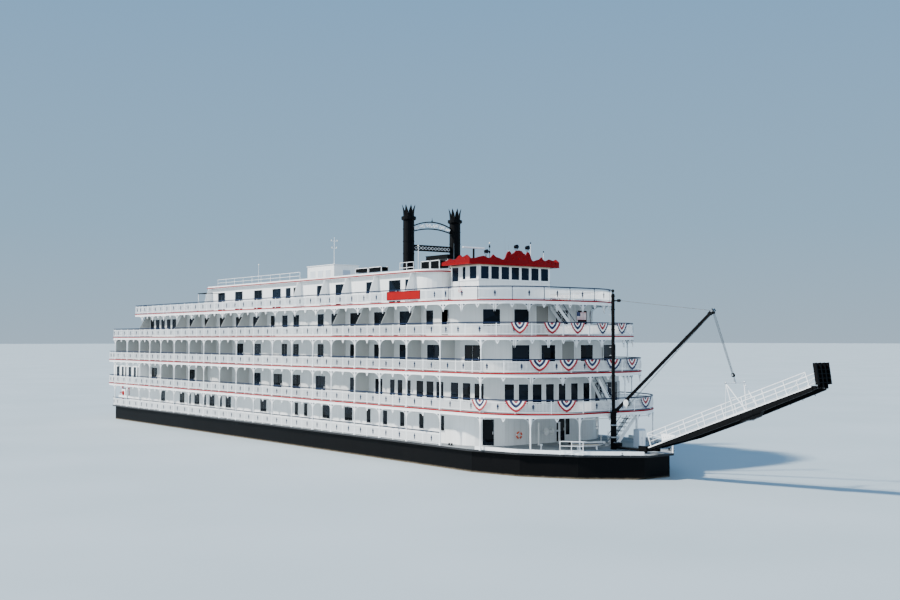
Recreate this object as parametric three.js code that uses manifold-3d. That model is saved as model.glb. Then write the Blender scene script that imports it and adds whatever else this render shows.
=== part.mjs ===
// Five-deck sternwheel riverboat with its landing stage and derrick, at one tenth of full size.
// Millimetres, +X to the bow, +Y to port, +Z up. The origin is amidships on the flat bottom's centreline.
import * as THREE from 'three';
import { mergeVertices } from 'three/addons/utils/BufferGeometryUtils.js';
import Module from 'manifold-3d';

const wasm = await Module();
wasm.setup();

// Gap kept between solids that touch, and the distance at which mesh corners are welded.
const SEAT = 0.3;
const WELD = 1e-3;

// Hull: a flat-bottomed box with a raked stern and a raked, rounded bow.
const HULL = {
  half: 800, stern: -4230, bow: 4010, top: 369.7, bilge: 0,
  sternRakeStart: -3450, transomFoot: 200, bowRakeStart: 3150, knuckle: 3700, forefoot: 90, stemFoot: 230,
  shoulder: 2900, stemHalf: 130,
};
// Control point of the bow's curve, as shares of its length and its half breadth.
const BOW_CURVE = { along: 0.62, out: 0.93 };
const GUARD_HALF = 840;
const MAIN_DECK = 385;
const BULWARK = { top: 410, thick: 12, inset: 6, from: 2960, gateHalf: 150 };

// Decks above the main deck. Each plate ends aft at stern and has rounded forward corners.
const DECK_PLATE = 12;
const CORNER_RADIUS = 600;
const DECKS = [
  { name: 'deck_2', top: 660, stern: -4374, front: 3550, half: 840 },
  { name: 'deck_3', top: 952, stern: -4374, front: 3425, half: 840 },
  { name: 'deck_4', top: 1227, stern: -4240, front: 3340, half: 840 },
  { name: 'deck_5', top: 1502, stern: -3620, front: 3130, half: 810 },
];
const FASCIA = { depth: 20, thick: 10, inset: 4 };
const EAVE_BRACKET = { reach: 88, drop: 62, thick: 8 };
const ROOF = { name: 'texas_roof', top: 1766, stern: -2076, front: 2095, half: 600, corner: 200 };

// Deckhouses: four walls on each deck, open above and below where the decks close them.
const WALL = 12;
const HOUSES = [
  { name: 'main_house', floor: MAIN_DECK, roof: 660, aft: -4060, front: 2900, half: 690, corner: 300 },
  { name: 'house_2', floor: 660, roof: 952, aft: -3500, front: 3230, half: 690, corner: 450 },
  { name: 'house_3', floor: 952, roof: 1227, aft: -4100, front: 3180, half: 690, corner: 450 },
  { name: 'house_4', floor: 1227, roof: 1502, aft: -3440, front: 2920, half: 690, corner: 450 },
  { name: 'texas_house', floor: 1502, roof: 1766, aft: -2030, front: 2060, half: 560, corner: 160 },
];

// Lounge aft of the second deckhouse, which reaches almost to the deck's edge.
const LOUNGE = { floor: 660, roof: 952, stern: -4330, front: -3500 - SEAT, half: 790, corner: 20 };

// Galleries: columns and railings along the deck edges. Side galleries end where the front one starts.
const COLUMN_X = [
  -4178, -3788, -3406, -3096, -2778, -2406, -2017, -1644, -1266, -886,
  -512, -131, 248, 630, 949, 1332, 1713, 2101, 2549, 3060,
];
const COLUMN = 16;
const COLUMN_INSET = 2;
const FRONT_SPLIT = 2557.6;
const RAIL = { height: 100, thick: 8, bar: 9, post: 9, inset: 6 };
// Arched corner brackets at the columns, and a pointed drop halfway along each bay.
const BRACKET = { reach: 92, drop: 56, steps: 3 };
const PENDANT = { half: 17, drop: 30 };
const FRONT_BRACKET = { reach: 58, drop: 56 };
const FRONT_RAIL_RUNS = [0, 268, 536, 804, 1072];
const GALLERY_THICK = 10;
const STERN_BAYS = 5;
const GALLERIES = [
  { level: 1, floor: MAIN_DECK, deck: DECKS[0], columns: true, stern: HULL.stern },
  { level: 2, floor: 660, deck: DECKS[0], above: DECKS[1], columns: true },
  { level: 3, floor: 952, deck: DECKS[1], above: DECKS[2], columns: true },
  { level: 4, floor: 1227, deck: DECKS[2], columns: false },
  { level: 5, floor: 1502, deck: DECKS[3], columns: false },
];
// Places round the front, as distances along the deck's edge from its middle, to port if positive.
const FRONTS = {
  1: { columns: [-1098, -690, -304, 304, 690, 1098], brackets: [] },
  2: { columns: [-995, -75, 302, 995], brackets: [-598, -348, 348, 598] },
  3: { columns: [-927, 927], brackets: [-665, -402, -134, 134, 402, 665] },
};

// Pilothouse: hollow, with seven front windows, and on each side a hinged door, a slit and a wide window.
const PILOTHOUSE = {
  aft: 2105, front: 2470, half: 385, wall: 10, floor: 1502, top: 1802, sill: 1687, head: 1789,
  windows: 7, pitch: 107.7, windowWidth: 82, doorAft: 2120, doorFront: 2212, doorFoot: 1508,
};
const SIDE_WINDOWS = [[2262, 2299], [2355, 2442]];
const DOOR = { gap: 1, hingeGap: 0.4, thick: 8, frame: 14 };
const CORNICE = { aft: 2110, front: 2478, half: 485, plate: 14, board: 10, bow: 40 };
// Top of the cornice's front board, as half breadth and height, and of its side boards, as X and height.
const CREST = [
  [0, 126], [30, 122], [48, 104], [64, 98], [76, 86], [84, 102], [98, 116], [112, 112], [126, 94], [138, 62],
  [152, 46], [172, 44], [202, 55], [234, 62], [262, 82], [270, 72], [286, 56], [312, 52], [352, 68],
  [392, 60], [430, 48], [485, 44],
];
const SIDE_CREST = [
  [2110, 26], [2162, 36], [2216, 50], [2258, 40], [2300, 46], [2330, 68], [2356, 74], [2374, 58], [2402, 62],
  [2440, 74], [2478, 48],
];

// Smokestacks, with a crown of spikes, and the arch and band that tie them.
const STACK = {
  x: 1320, y: 260, radius: 51, collarRadius: 67, collarLow: 34, collarHigh: 4, top: 2300, facets: 16,
};
const SPIKE = {
  count: 8, top: 2394, phase: 30, base: 44, belly: 50, tip: 62, thick: 7, half: 19, waist: 13.7,
  foot: 6, point: 1.5,
};
const ARCH = { springLow: 2160, springHigh: 2217, peakLow: 2190, peakHigh: 2262, thick: 10 };
const BAND = { low: 1990, high: 2045, thick: 10 };

// Sternwheel with its shaft, three spiders and paddle boards, and the two timbers that carry it.
const WHEEL = {
  x: -4800, z: 500, radius: 365, half: 390, shaftRadius: 30, shaftHalf: 490, hubRadius: 62, arms: 12,
  spiders: [-370, 0, 370], spiderThick: 12, armWidth: 16, ringOuter: 330, ringInner: 306,
  boardDepth: 62, boardThick: 8, facets: 24,
};
const TIMBER = {
  y: 455, half: 26, aft: -4960, forward: -4090, foot: 440, top: 470, bearingHalf: 60, bearingTop: 552,
};
const BEARING_BORE = 30.7;

// Balanced rudders under the raked stern.
const RUDDER = {
  x: -4060, ys: [-450, 0, 450], stock: 12, bossRadius: 22, bossFoot: 128,
  foot: 10, top: 116, aft: -4210, forward: -3995, thick: 14,
};

// Derrick: a turning mast with a heel arm that carries the landing stage, and the boom.
const MAST = {
  x: 3582, radius: 13, foot: MAIN_DECK + SEAT, top: 1536, flange: 24, flangeThick: 6, boss: 20,
  ball: 11, ballStem: 5, armZ: 1485, armReach: 70, armHalf: 4, armDepth: 10,
};
const BOOM_CHEEK = { y: 15, half: 3, rise: 12, root: 4, back: 15, reach: 8 };
const HEEL = {
  low: 395, high: 409, half: 26, cheekHalf: 75, cheekThick: 14, cheekTop: 440, cheekAft: 60, cheekFront: 14,
  beam: 24,
};
const STAGE_PIN = { x: 3960, z: 425, radius: 8, bore: 8.6 };
const BOOM_PIN = { x: 3614, z: 677, radius: 5, bore: 5.6, half: 20 };
const BOOM_TIP = { x: 4520, z: 1393 };
const BOOM = {
  half: 8, depth: 18, end: 26, eyeRadius: 12, eyeHalf: 11,
  headRadius: 12, headStart: 40, headHalf: 10, headY: 11, headThick: 3,
};
const DRUM = { x: 120, z: -22, radius: 20, half: 14, bracket: 20, bracketHalf: 6 };
const FALLS_PIN = { radius: 4, bore: 4.6, half: 14 };
const FALLS = {
  sheave: 11, sheaveHalf: 6, strap: 9, strapFoot: -24, wireY: 6, wireHalf: 1.5,
  block: 10, blockHalf: 8, blockHigh: 24, blockLap: 8, hook: 3, hookLow: 12,
};
const HOOK = { x: 4690, z: 950 };

// Landing stage, in its own frame: x along the deck from the heel pin, z square to the deck.
const STAGE_TILT = 19.5 * Math.PI / 180;
const STAGE = {
  length: 1462, half: 73, deck: 8, girder: 44, footDepth: 16, taper: 400, girderThick: 12, flatEnd: 965,
  start: 30, lug: 16, lugY: 48, lugAft: 14, lugLow: 14, lugHigh: 12, lugRoot: 20, beam: 10,
  railHeight: 96, railThick: 8, railStart: 24, railEnd: 12, posts: 9, beams: 5,
};
const BRIDLE = { x: 860, top: 214, feet: [833, 932], bar: 8, topHalf: 98, footHalf: 66 };
const APRON = {
  x: 1478, height: 150, half: 70, ribs: 4, pinZ: -16, pinRadius: 5, bore: 5.6, lean: 11 * Math.PI / 180,
  back: 10, front: 18, ribFront: 34, foot: -6, lugY: 40, lugReach: 9, stageLugY: 61, lugHalf: 6,
  stageLugHalf: 10, notch: 8, notchTop: 14,
};

// Radar scanner on its post over the pilothouse.
const RADAR = { x: 2200, y: -222, post: 8, postTop: 1948, bar: 230, barDepth: 14, barTop: 1966 };

// Stairs: each runs between two decks, in the direction of its climb.
const STAIR = { width: 90, steps: 8, depth: 34, clear: 8 };
const STAIRS = [
  { name: 'fore_stair', low: MAIN_DECK, high: 660, x: 3420, y: 120, run: 240, climb: 1 },
  { name: 'upper_fore_stair', low: 1227, high: 1502, x: 3010, y: 170, run: 230, climb: -1 },
];

// Deckhouse on the roof.
const ROOF_HOUSE = { aft: -650, front: -130, half: 145, top: 1945 };

// Colours of the paintwork.
const WHITE = { color: 0xf1f3f3, roughness: 0.45, metalness: 0 };
const BLACK = { color: 0x14161a, roughness: 0.5, metalness: 0 };
const RED = { color: 0xb01c28, roughness: 0.5, metalness: 0 };
const GREY_DECK = { color: 0x8d9193, roughness: 0.8, metalness: 0 };

const boat = new THREE.Group();

// Turns a closed geometry into a solid that can be cut and joined.
function toSolid(geometry) {
  const bare = new THREE.BufferGeometry();
  bare.setAttribute('position', geometry.attributes.position.clone());
  if (geometry.index) bare.setIndex(geometry.index.clone());
  const welded = mergeVertices(bare, WELD);
  const corners = welded.index.array;
  const kept = [];
  for (let i = 0; i < corners.length; i += 3) {
    const [a, b, c] = [corners[i], corners[i + 1], corners[i + 2]];
    if (a !== b && b !== c && c !== a) kept.push(a, b, c);
  }
  const vertProperties = new Float32Array(welded.attributes.position.array);
  return new wasm.Manifold(new wasm.Mesh({ numProp: 3, vertProperties, triVerts: new Uint32Array(kept) }));
}

function join(solids) {
  return solids.reduce((whole, solid) => whole.add(solid));
}

// Adds a solid to the boat, or to a tilted group, as a named mesh.
function place(name, solid, paint, parent = boat) {
  const { vertProperties, triVerts } = solid.getMesh();
  const geometry = new THREE.BufferGeometry();
  geometry.setAttribute('position', new THREE.BufferAttribute(new Float32Array(vertProperties), 3));
  geometry.setIndex(new THREE.BufferAttribute(new Uint32Array(triVerts), 1));
  geometry.computeVertexNormals();
  const mesh = new THREE.Mesh(geometry, new THREE.MeshStandardMaterial(paint));
  mesh.name = name;
  parent.add(mesh);
  return mesh;
}

function box(x0, x1, y0, y1, z0, z1) {
  const geometry = new THREE.BoxGeometry(x1 - x0, y1 - y0, z1 - z0);
  return toSolid(geometry.translate((x0 + x1) / 2, (y0 + y1) / 2, (z0 + z1) / 2));
}

function polygon(points) {
  return new THREE.Shape(points.map(([u, v]) => new THREE.Vector2(u, v)));
}

function extrude(shape, depth, curveSegments = 3) {
  return new THREE.ExtrudeGeometry(shape, { depth, bevelEnabled: false, curveSegments });
}

// A plan outline in X and Y, raised from z0 to z1.
function plate(shape, z0, z1) {
  return toSolid(extrude(shape, z1 - z0).translate(0, 0, z0));
}

// A side outline in X and Z, carried across from y0 to y1.
function across(shape, y0, y1, curveSegments = 4) {
  return toSolid(extrude(shape, y1 - y0, curveSegments).rotateX(Math.PI / 2).translate(0, y1, 0));
}

// A flat frame: a side outline carried across, with openings cut through it.
function pierced(outline, openings, y0, y1) {
  const cutters = openings.map((opening) => across(polygon(opening), y0 - 1, y1 + 1));
  return cutters.reduce((whole, cutter) => whole.subtract(cutter), across(polygon(outline), y0, y1));
}

// An end outline in Y and Z, carried along from x0 to x1.
function along(shape, x0, x1, curveSegments = 4) {
  const turn = new THREE.Matrix4().makeBasis(
    new THREE.Vector3(0, 1, 0), new THREE.Vector3(0, 0, 1), new THREE.Vector3(1, 0, 0));
  return toSolid(extrude(shape, x1 - x0, curveSegments).applyMatrix4(turn).translate(x0, 0, 0));
}

// A round bar between two points, or a square one with four sides.
function bar(from, to, radius, sides = 8) {
  const start = new THREE.Vector3(...from);
  const end = new THREE.Vector3(...to);
  const axis = end.clone().sub(start);
  const geometry = new THREE.CylinderGeometry(radius, radius, axis.length(), sides);
  const up = new THREE.Vector3(0, 1, 0);
  const turn = new THREE.Quaternion().setFromUnitVectors(up, axis.clone().normalize());
  geometry.applyQuaternion(turn).translate(...start.add(end).multiplyScalar(0.5).toArray());
  return toSolid(geometry);
}

// A turned solid about a vertical axis through (x, y); the profile is radius and height.
function turned(profile, x, y, facets) {
  const geometry = new THREE.LatheGeometry(profile.map(([r, z]) => new THREE.Vector2(r, z)), facets);
  return toSolid(geometry.rotateX(Math.PI / 2).translate(x, y, 0));
}

// Plan outline of a deck, set in from its edge.
function deckOutline({ stern, front, half, corner = CORNER_RADIUS }, inset = 0) {
  const centreX = front - corner;
  const centreY = half - corner;
  const radius = corner - inset;
  const shape = new THREE.Shape();
  shape.moveTo(stern + inset, -half + inset);
  shape.lineTo(centreX, -half + inset);
  shape.absarc(centreX, -centreY, radius, -Math.PI / 2, 0, false);
  shape.absarc(centreX, centreY, radius, 0, Math.PI / 2, false);
  shape.lineTo(stern + inset, half - inset);
  shape.closePath();
  return shape;
}

// A U-shaped strip that follows a deck's front from x = start on one side to the other.
function frontStrip(deck, start, inset, thick, z0, z1) {
  const whole = plate(deckOutline(deck, inset), z0, z1);
  const core = plate(deckOutline(deck, inset + thick), z0 - 1, z1 + 1);
  const keep = box(start, deck.front + 10, -deck.half, deck.half, z0 - 1, z1 + 1);
  return whole.subtract(core).intersect(keep);
}

// Place on a deck's edge, set in, at a distance along it from the middle of its front, and the way it faces.
function edgeSpot(deck, inset, run) {
  const side = Math.sign(run);
  const flat = deck.half - CORNER_RADIUS;
  const bend = CORNER_RADIUS * Math.PI / 2;
  const past = Math.abs(run) - flat;
  if (past <= 0) return { at: [deck.front - inset, run], angle: 0 };
  if (past >= bend) {
    return { at: [deck.front - CORNER_RADIUS - (past - bend), side * (deck.half - inset)], angle: side * 90 };
  }
  const turn = past / CORNER_RADIUS;
  const radius = CORNER_RADIUS - inset;
  return {
    at: [deck.front - CORNER_RADIUS + radius * Math.cos(turn), side * (flat + radius * Math.sin(turn))],
    angle: side * turn * 180 / Math.PI,
  };
}

function post([x, y], size, z0, z1) {
  return box(x - size / 2, x + size / 2, y - size / 2, y + size / 2, z0, z1);
}

// Control point of the bow's curve on one side.
function bowControl(side, half, stemX) {
  return [HULL.shoulder + BOW_CURVE.along * (stemX - HULL.shoulder), side * half * BOW_CURVE.out];
}

function hullPlan(grow = 0) {
  const half = HULL.half + grow;
  const stem = HULL.bow + grow;
  const shape = new THREE.Shape();
  shape.moveTo(HULL.stern, -half);
  shape.lineTo(HULL.shoulder, -half);
  shape.quadraticCurveTo(...bowControl(-1, half, stem), stem, -HULL.stemHalf);
  shape.lineTo(stem, HULL.stemHalf);
  shape.quadraticCurveTo(...bowControl(1, half, stem), HULL.shoulder, half);
  shape.lineTo(HULL.stern, half);
  shape.closePath();
  return shape;
}

function buildHull() {
  const profile = polygon([
    [HULL.stern, HULL.top], [HULL.stern, HULL.transomFoot], [HULL.sternRakeStart, HULL.bilge],
    [HULL.bowRakeStart, HULL.bilge], [HULL.knuckle, HULL.forefoot],
    [HULL.bow, HULL.stemFoot], [HULL.bow, HULL.top],
  ]);
  const body = across(profile, -HULL.half, HULL.half).intersect(plate(hullPlan(), -1, HULL.top + 1));
  const bosses = RUDDER.ys.map((y) => bar(
    [RUDDER.x, y, RUDDER.bossFoot], [RUDDER.x, y, HULL.transomFoot + 60], RUDDER.bossRadius, 12));
  place('hull', join([body, ...bosses]), BLACK);
  place('main_deck', plate(hullPlan(GUARD_HALF - HULL.half), HULL.top + SEAT, MAIN_DECK), GREY_DECK);
  const grow = GUARD_HALF - HULL.half - BULWARK.inset;
  const ring = plate(hullPlan(grow), MAIN_DECK + SEAT, BULWARK.top)
    .subtract(plate(hullPlan(grow - BULWARK.thick), MAIN_DECK, BULWARK.top + 1))
    .intersect(box(BULWARK.from, HULL.bow + 100, -GUARD_HALF, GUARD_HALF, MAIN_DECK, BULWARK.top + 2));
  for (const [name, y0, y1] of [
    ['starboard_bulwark', -GUARD_HALF, -BULWARK.gateHalf], ['port_bulwark', BULWARK.gateHalf, GUARD_HALF]]) {
    place(name, ring.intersect(box(BULWARK.from, HULL.bow + 100, y0, y1, MAIN_DECK, BULWARK.top + 2)), WHITE);
  }
}

function buildDecks() {
  for (const deck of DECKS) {
    let solid = plate(deckOutline(deck), deck.top - DECK_PLATE, deck.top);
    if (deck.name === 'deck_5') {
      solid = join([solid, fascia(deck), eaveBrackets(deck, -1), eaveBrackets(deck, 1)]);
    }
    place(deck.name, solid, WHITE);
  }
  place(ROOF.name, plate(deckOutline(ROOF), ROOF.top - DECK_PLATE, ROOF.top), WHITE);
}

// A board hung under a deck's whole edge.
function fascia(deck) {
  const z0 = deck.top - DECK_PLATE - FASCIA.depth;
  const z1 = deck.top - DECK_PLATE;
  return plate(deckOutline(deck, FASCIA.inset), z0, z1)
    .subtract(plate(deckOutline(deck, FASCIA.inset + FASCIA.thick), z0 - 1, z1 + 1));
}

// Brackets without columns under one side of a deck's edge board, with a pointed drop between each two.
function eaveBrackets(deck, side) {
  const low = deck.top - DECK_PLATE - FASCIA.depth;
  const { reach, drop } = EAVE_BRACKET;
  const xs = COLUMN_X.filter((x) => x > deck.stern + reach && x < FRONT_SPLIT);
  const middle = side * (deck.half - FASCIA.inset - FASCIA.thick / 2);
  const [y0, y1] = [middle - EAVE_BRACKET.thick / 2, middle + EAVE_BRACKET.thick / 2];
  const brackets = xs.map((x) => across(polygon([
    [x - reach, low + 1], [x - reach, low], [x - reach / 3, low - drop / 3], [x, low - drop],
    [x + reach / 3, low - drop / 3], [x + reach, low], [x + reach, low + 1],
  ]), y0, y1));
  const drops = xs.slice(1).map((x, i) => {
    const at = (x + xs[i]) / 2;
    return across(polygon([
      [at - PENDANT.half, low + 1], [at, low - PENDANT.drop], [at + PENDANT.half, low + 1]]), y0, y1);
  });
  return join([...brackets, ...drops]);
}

function buildHouses() {
  for (const { name, floor, roof, aft, front, half, corner } of HOUSES) {
    place(name, walls({ stern: aft, front, half, corner }, floor, roof), WHITE);
  }
  place('lounge', walls(LOUNGE, LOUNGE.floor, LOUNGE.roof), WHITE);
}

// Four walls on a plan outline, between two decks.
function walls(plan, floor, roof) {
  const low = floor + SEAT;
  const high = roof - DECK_PLATE - SEAT;
  return plate(deckOutline(plan), low, high).subtract(plate(deckOutline(plan, WALL), low - 1, high + 1));
}

// Points along one arched corner bracket, from its foot on the column to its tip under the head board.
function bracketArc(x, board, direction) {
  const { reach, drop, steps } = BRACKET;
  const points = [];
  for (let i = 0; i <= steps; i += 1) {
    const angle = i / steps * Math.PI / 2;
    points.push([x - direction * reach * (1 - Math.cos(angle)), board - drop * (1 - Math.sin(angle))]);
  }
  return points;
}

// Top edge of a bay's opening, from x1 back to x0: two brackets with the pointed drop between them.
function archHead(x0, x1, board) {
  const middle = (x0 + x1) / 2;
  return [
    ...bracketArc(x1, board, 1),
    [middle + PENDANT.half, board], [middle, board - PENDANT.drop], [middle - PENDANT.half, board],
    ...bracketArc(x0, board, -1).reverse(),
  ];
}

// One straight side gallery, cut from one plane: railing, columns with corner brackets, and the head board.
function sideGallery({ floor, deck, above, columns, stern }, side) {
  const foot = floor + SEAT;
  const railTop = floor + RAIL.height;
  const half = COLUMN / 2;
  const start = (stern ?? deck.stern) + RAIL.inset + RAIL.thick + SEAT;
  const xs = COLUMN_X.filter((x) => x > start + COLUMN && x < FRONT_SPLIT);
  const end = xs.at(-1) + half;
  const head = (above ?? deck).top - DECK_PLATE - SEAT;
  const board = head - FASCIA.depth;
  const first = xs[0] - half;
  const boardStart = Math.min((above ?? deck).stern + FASCIA.inset, first - 1);
  const outline = columns ? [
    [start, foot], [end, foot], [end, head], [boardStart, head], [boardStart, board], [first, board],
    [first, railTop], [start, railTop],
  ] : [[start, foot], [end, foot], [end, railTop], [start, railTop]];
  const edges = [start - half + RAIL.post, ...xs];
  const openings = [];
  for (let i = 0; i + 1 < edges.length; i += 1) {
    const x0 = edges[i] + half;
    const x1 = edges[i + 1] - half;
    openings.push([
      [x0, floor + RAIL.bar], [x1, floor + RAIL.bar], [x1, railTop - RAIL.bar], [x0, railTop - RAIL.bar]]);
    if (!columns || i === 0) continue;
    openings.push([[x0, railTop], [x1, railTop], ...archHead(x0, x1, board)]);
  }
  const y = side * (deck.half - COLUMN_INSET - half);
  return pierced(outline, openings, y - GALLERY_THICK / 2, y + GALLERY_THICK / 2);
}

// The front railing follows the deck's rounded corners.
function frontRail({ floor, deck }) {
  const inset = COLUMN_INSET + (COLUMN - GALLERY_THICK) / 2;
  const top = floor + RAIL.height;
  const handrail = frontStrip(deck, FRONT_SPLIT, inset, GALLERY_THICK, top - RAIL.bar, top);
  const middle = inset + GALLERY_THICK / 2;
  const runs = FRONT_RAIL_RUNS.flatMap((run) => (run ? [run, -run] : [0]));
  const posts = runs.map((run) => post(edgeSpot(deck, middle, run).at, RAIL.post, floor + SEAT, top - 1));
  return join([handrail, ...posts]);
}

// Front columns under the head board of the deck above.
function frontColumns({ level, floor, deck, above }) {
  const over = above ?? deck;
  const head = over.top - DECK_PLATE - SEAT;
  const inset = COLUMN_INSET + (COLUMN - GALLERY_THICK) / 2;
  const board = frontStrip(over, FRONT_SPLIT, inset, GALLERY_THICK, head - FASCIA.depth, head);
  const middle = COLUMN_INSET + COLUMN / 2;
  const { columns, brackets } = FRONTS[level];
  const boardFoot = head - FASCIA.depth;
  const hung = [...columns, ...brackets].map((run) => frontBracket(edgeSpot(over, middle, run), boardFoot));
  const posts = columns.map((run) => post(edgeSpot(over, middle, run).at, COLUMN, floor + SEAT, head - 1));
  return join([board, ...hung, ...posts]);
}

// A bracket to both sides of a place on the front, in line with the deck's edge there.
function frontBracket({ at: [x, y], angle }, low) {
  const { reach, drop } = FRONT_BRACKET;
  const outline = polygon([
    [-reach, low + 1], [-reach, low - 2], [-reach / 3, low - drop / 3], [0, low - drop],
    [reach / 3, low - drop / 3], [reach, low - 2], [reach, low + 1],
  ]);
  const solid = across(outline, -GALLERY_THICK / 2, GALLERY_THICK / 2);
  return solid.rotate([0, 0, angle + 90]).translate([x, y, 0]);
}

function buildGalleries() {
  for (const gallery of GALLERIES) {
    const { level } = gallery;
    place(`starboard_gallery_${level}`, sideGallery(gallery, -1), WHITE);
    place(`port_gallery_${level}`, sideGallery(gallery, 1), WHITE);
    if (gallery.columns) place(`front_columns_${level}`, frontColumns(gallery), WHITE);
    if (level === 1) continue;
    place(`front_rail_${level}`, frontRail(gallery), WHITE);
    place(`stern_rail_${level}`, sternRail(gallery), WHITE);
  }
}

function sternRail({ floor, deck }) {
  const x0 = deck.stern + RAIL.inset;
  const half = deck.half - RAIL.inset;
  const top = floor + RAIL.height;
  const bay = 2 * half / STERN_BAYS;
  let rail = box(x0, x0 + RAIL.thick, -half, half, floor + SEAT, top);
  for (let i = 0; i < STERN_BAYS; i += 1) {
    const y0 = -half + i * bay + RAIL.post;
    rail = rail.subtract(box(
      x0 - 1, x0 + RAIL.thick + 1, y0, y0 + bay - 2 * RAIL.post, floor + RAIL.bar, top - RAIL.bar));
  }
  return rail;
}

function buildPilothouse() {
  const { aft, front, half, wall, floor, top, sill, head } = PILOTHOUSE;
  let walls = box(aft, front, -half, half, floor + SEAT, top - SEAT)
    .subtract(box(aft + wall, front - wall, -half + wall, half - wall, floor - 1, top + 1));
  const first = -(PILOTHOUSE.windows - 1) / 2;
  for (let i = 0; i < PILOTHOUSE.windows; i += 1) {
    const y = (first + i) * PILOTHOUSE.pitch;
    const reach = PILOTHOUSE.windowWidth / 2;
    walls = walls.subtract(box(front - 2 * wall, front + 1, y - reach, y + reach, sill, head));
  }
  for (const [x0, x1] of SIDE_WINDOWS) walls = walls.subtract(box(x0, x1, -half - 1, half + 1, sill, head));
  walls = walls.subtract(
    box(PILOTHOUSE.doorAft, PILOTHOUSE.doorFront, -half - 1, half + 1, PILOTHOUSE.doorFoot, head));
  place('pilothouse', walls, WHITE);
  for (const [name, side] of [['starboard_door', -1], ['port_door', 1]]) {
    const outer = side * half;
    const inner = side * (half - DOOR.thick);
    const leaf = box(
      PILOTHOUSE.doorAft + DOOR.gap, PILOTHOUSE.doorFront - DOOR.hingeGap, Math.min(outer, inner),
      Math.max(outer, inner), PILOTHOUSE.doorFoot + DOOR.gap, head - DOOR.gap);
    const pane = box(
      PILOTHOUSE.doorAft + DOOR.frame, PILOTHOUSE.doorFront - DOOR.frame, -half - 1, half + 1,
      sill, head - DOOR.frame);
    place(name, leaf.subtract(pane), WHITE);
  }
  const { board, half: edge, plate: slab } = CORNICE;
  const roof = plate(cornicePlan(0), top, top + slab);
  const frontBoard = along(crestOutline(), CORNICE.front - 2 * board, CORNICE.front + CORNICE.bow + 1)
    .intersect(plate(cornicePlan(0), top, top + 200).subtract(plate(cornicePlan(board), top - 1, top + 201)));
  const sides = [-1, 1].map((side) => {
    const middle = side * (edge - board / 2);
    return across(sideCrestOutline(), middle - board / 2, middle + board / 2);
  });
  const radarPost = bar([RADAR.x, RADAR.y, top + 1], [RADAR.x, RADAR.y, RADAR.postTop], RADAR.post);
  place('pilothouse_roof', join([roof, frontBoard, ...sides, radarPost]), RED);
  const scanner = join([
    box(
      RADAR.x - RADAR.barDepth / 2, RADAR.x + RADAR.barDepth / 2,
      RADAR.y - RADAR.bar / 2, RADAR.y + RADAR.bar / 2, RADAR.postTop + 4, RADAR.barTop),
    bar([RADAR.x, RADAR.y, RADAR.postTop + SEAT], [RADAR.x, RADAR.y, RADAR.postTop + 6], RADAR.post),
  ]);
  place('radar_scanner', scanner, WHITE);
}

// Plan of the roof, with its front edge bowed forward, set in from that edge.
function cornicePlan(inset) {
  const { aft, front, half, bow } = CORNICE;
  const points = [[aft - inset, half + inset], [aft - inset, -half - inset]];
  const count = 10;
  for (let i = 0; i <= count; i += 1) {
    const u = -1 + 2 * i / count;
    points.push([front - inset + bow * (1 - u * u), u * (half + (i % count ? 0 : inset))]);
  }
  return polygon(points);
}

// Front board of the cornice: low swells, scrolls and a raised centre, the same on both sides.
function crestOutline() {
  const base = PILOTHOUSE.top;
  const right = CREST.map(([y, z]) => [y, base + z]);
  const left = CREST.slice(1).reverse().map(([y, z]) => [-y, base + z]);
  return polygon([[CORNICE.half, base], ...right.reverse(), ...left.reverse(), [-CORNICE.half, base]]);
}

function sideCrestOutline() {
  const base = PILOTHOUSE.top;
  const crest = SIDE_CREST.map(([x, z]) => [x, base + z]);
  return polygon([[CORNICE.aft, base], ...crest, [CORNICE.front, base]]);
}

function buildStacks() {
  const foot = ROOF.top + SEAT;
  const { radius, collarRadius, collarLow, collarHigh, top, facets } = STACK;
  for (const [name, side] of [['starboard_stack', -1], ['port_stack', 1]]) {
    const y = side * STACK.y;
    const tube = turned([
      [0, foot], [radius + 8, foot], [radius + 8, foot + 12], [radius, foot + 14],
      [radius, top - collarLow - 10],
      [collarRadius, top - collarLow], [collarRadius, top - collarHigh - 6], [radius, top - collarHigh],
      [radius - 5, top], [0, top],
    ], STACK.x, y, facets);
    const spikes = [];
    for (let i = 0; i < SPIKE.count; i += 1) {
      const angle = SPIKE.phase + i * 360 / SPIKE.count;
      spikes.push(spike(top).rotate([0, 0, angle]).translate([STACK.x, y, 0]));
    }
    place(name, join([tube, ...spikes]), BLACK);
  }
  const span = STACK.y - radius - SEAT;
  const arch = along(polygon(archPoints(span)), STACK.x - ARCH.thick / 2, STACK.x + ARCH.thick / 2);
  place('stack_arch', arch, BLACK);
  const bandHalf = BAND.thick / 2;
  place('stack_band', box(STACK.x - bandHalf, STACK.x + bandHalf, -span, span, BAND.low, BAND.high), BLACK);
}

// One spike of a stack's crown: a petal that bends outward and narrows to its tip.
function spike(foot) {
  const { base, belly, tip, thick, half, top, point, waist } = SPIKE;
  const low = foot - SPIKE.foot;
  const middle = (foot + top) / 2;
  const bend = across(polygon([
    [base - thick, low], [base, low], [belly, middle], [tip, top], [tip - point, top],
    [belly - thick, middle],
  ]), -half, half);
  const taper = along(polygon([
    [-half, low - 1], [half, low - 1], [waist, middle], [point, top], [-point, top], [-waist, middle],
  ]), 0, tip + 1);
  return bend.intersect(taper);
}

function archPoints(span) {
  const upper = [];
  const lower = [];
  const count = 10;
  for (let i = 0; i <= count; i += 1) {
    const u = -1 + 2 * i / count;
    const fall = u * u;
    upper.push([-u * span, ARCH.peakHigh - fall * (ARCH.peakHigh - ARCH.springHigh)]);
    lower.push([u * span, ARCH.peakLow - fall * (ARCH.peakLow - ARCH.springLow)]);
  }
  return [...upper, ...lower];
}

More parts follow.
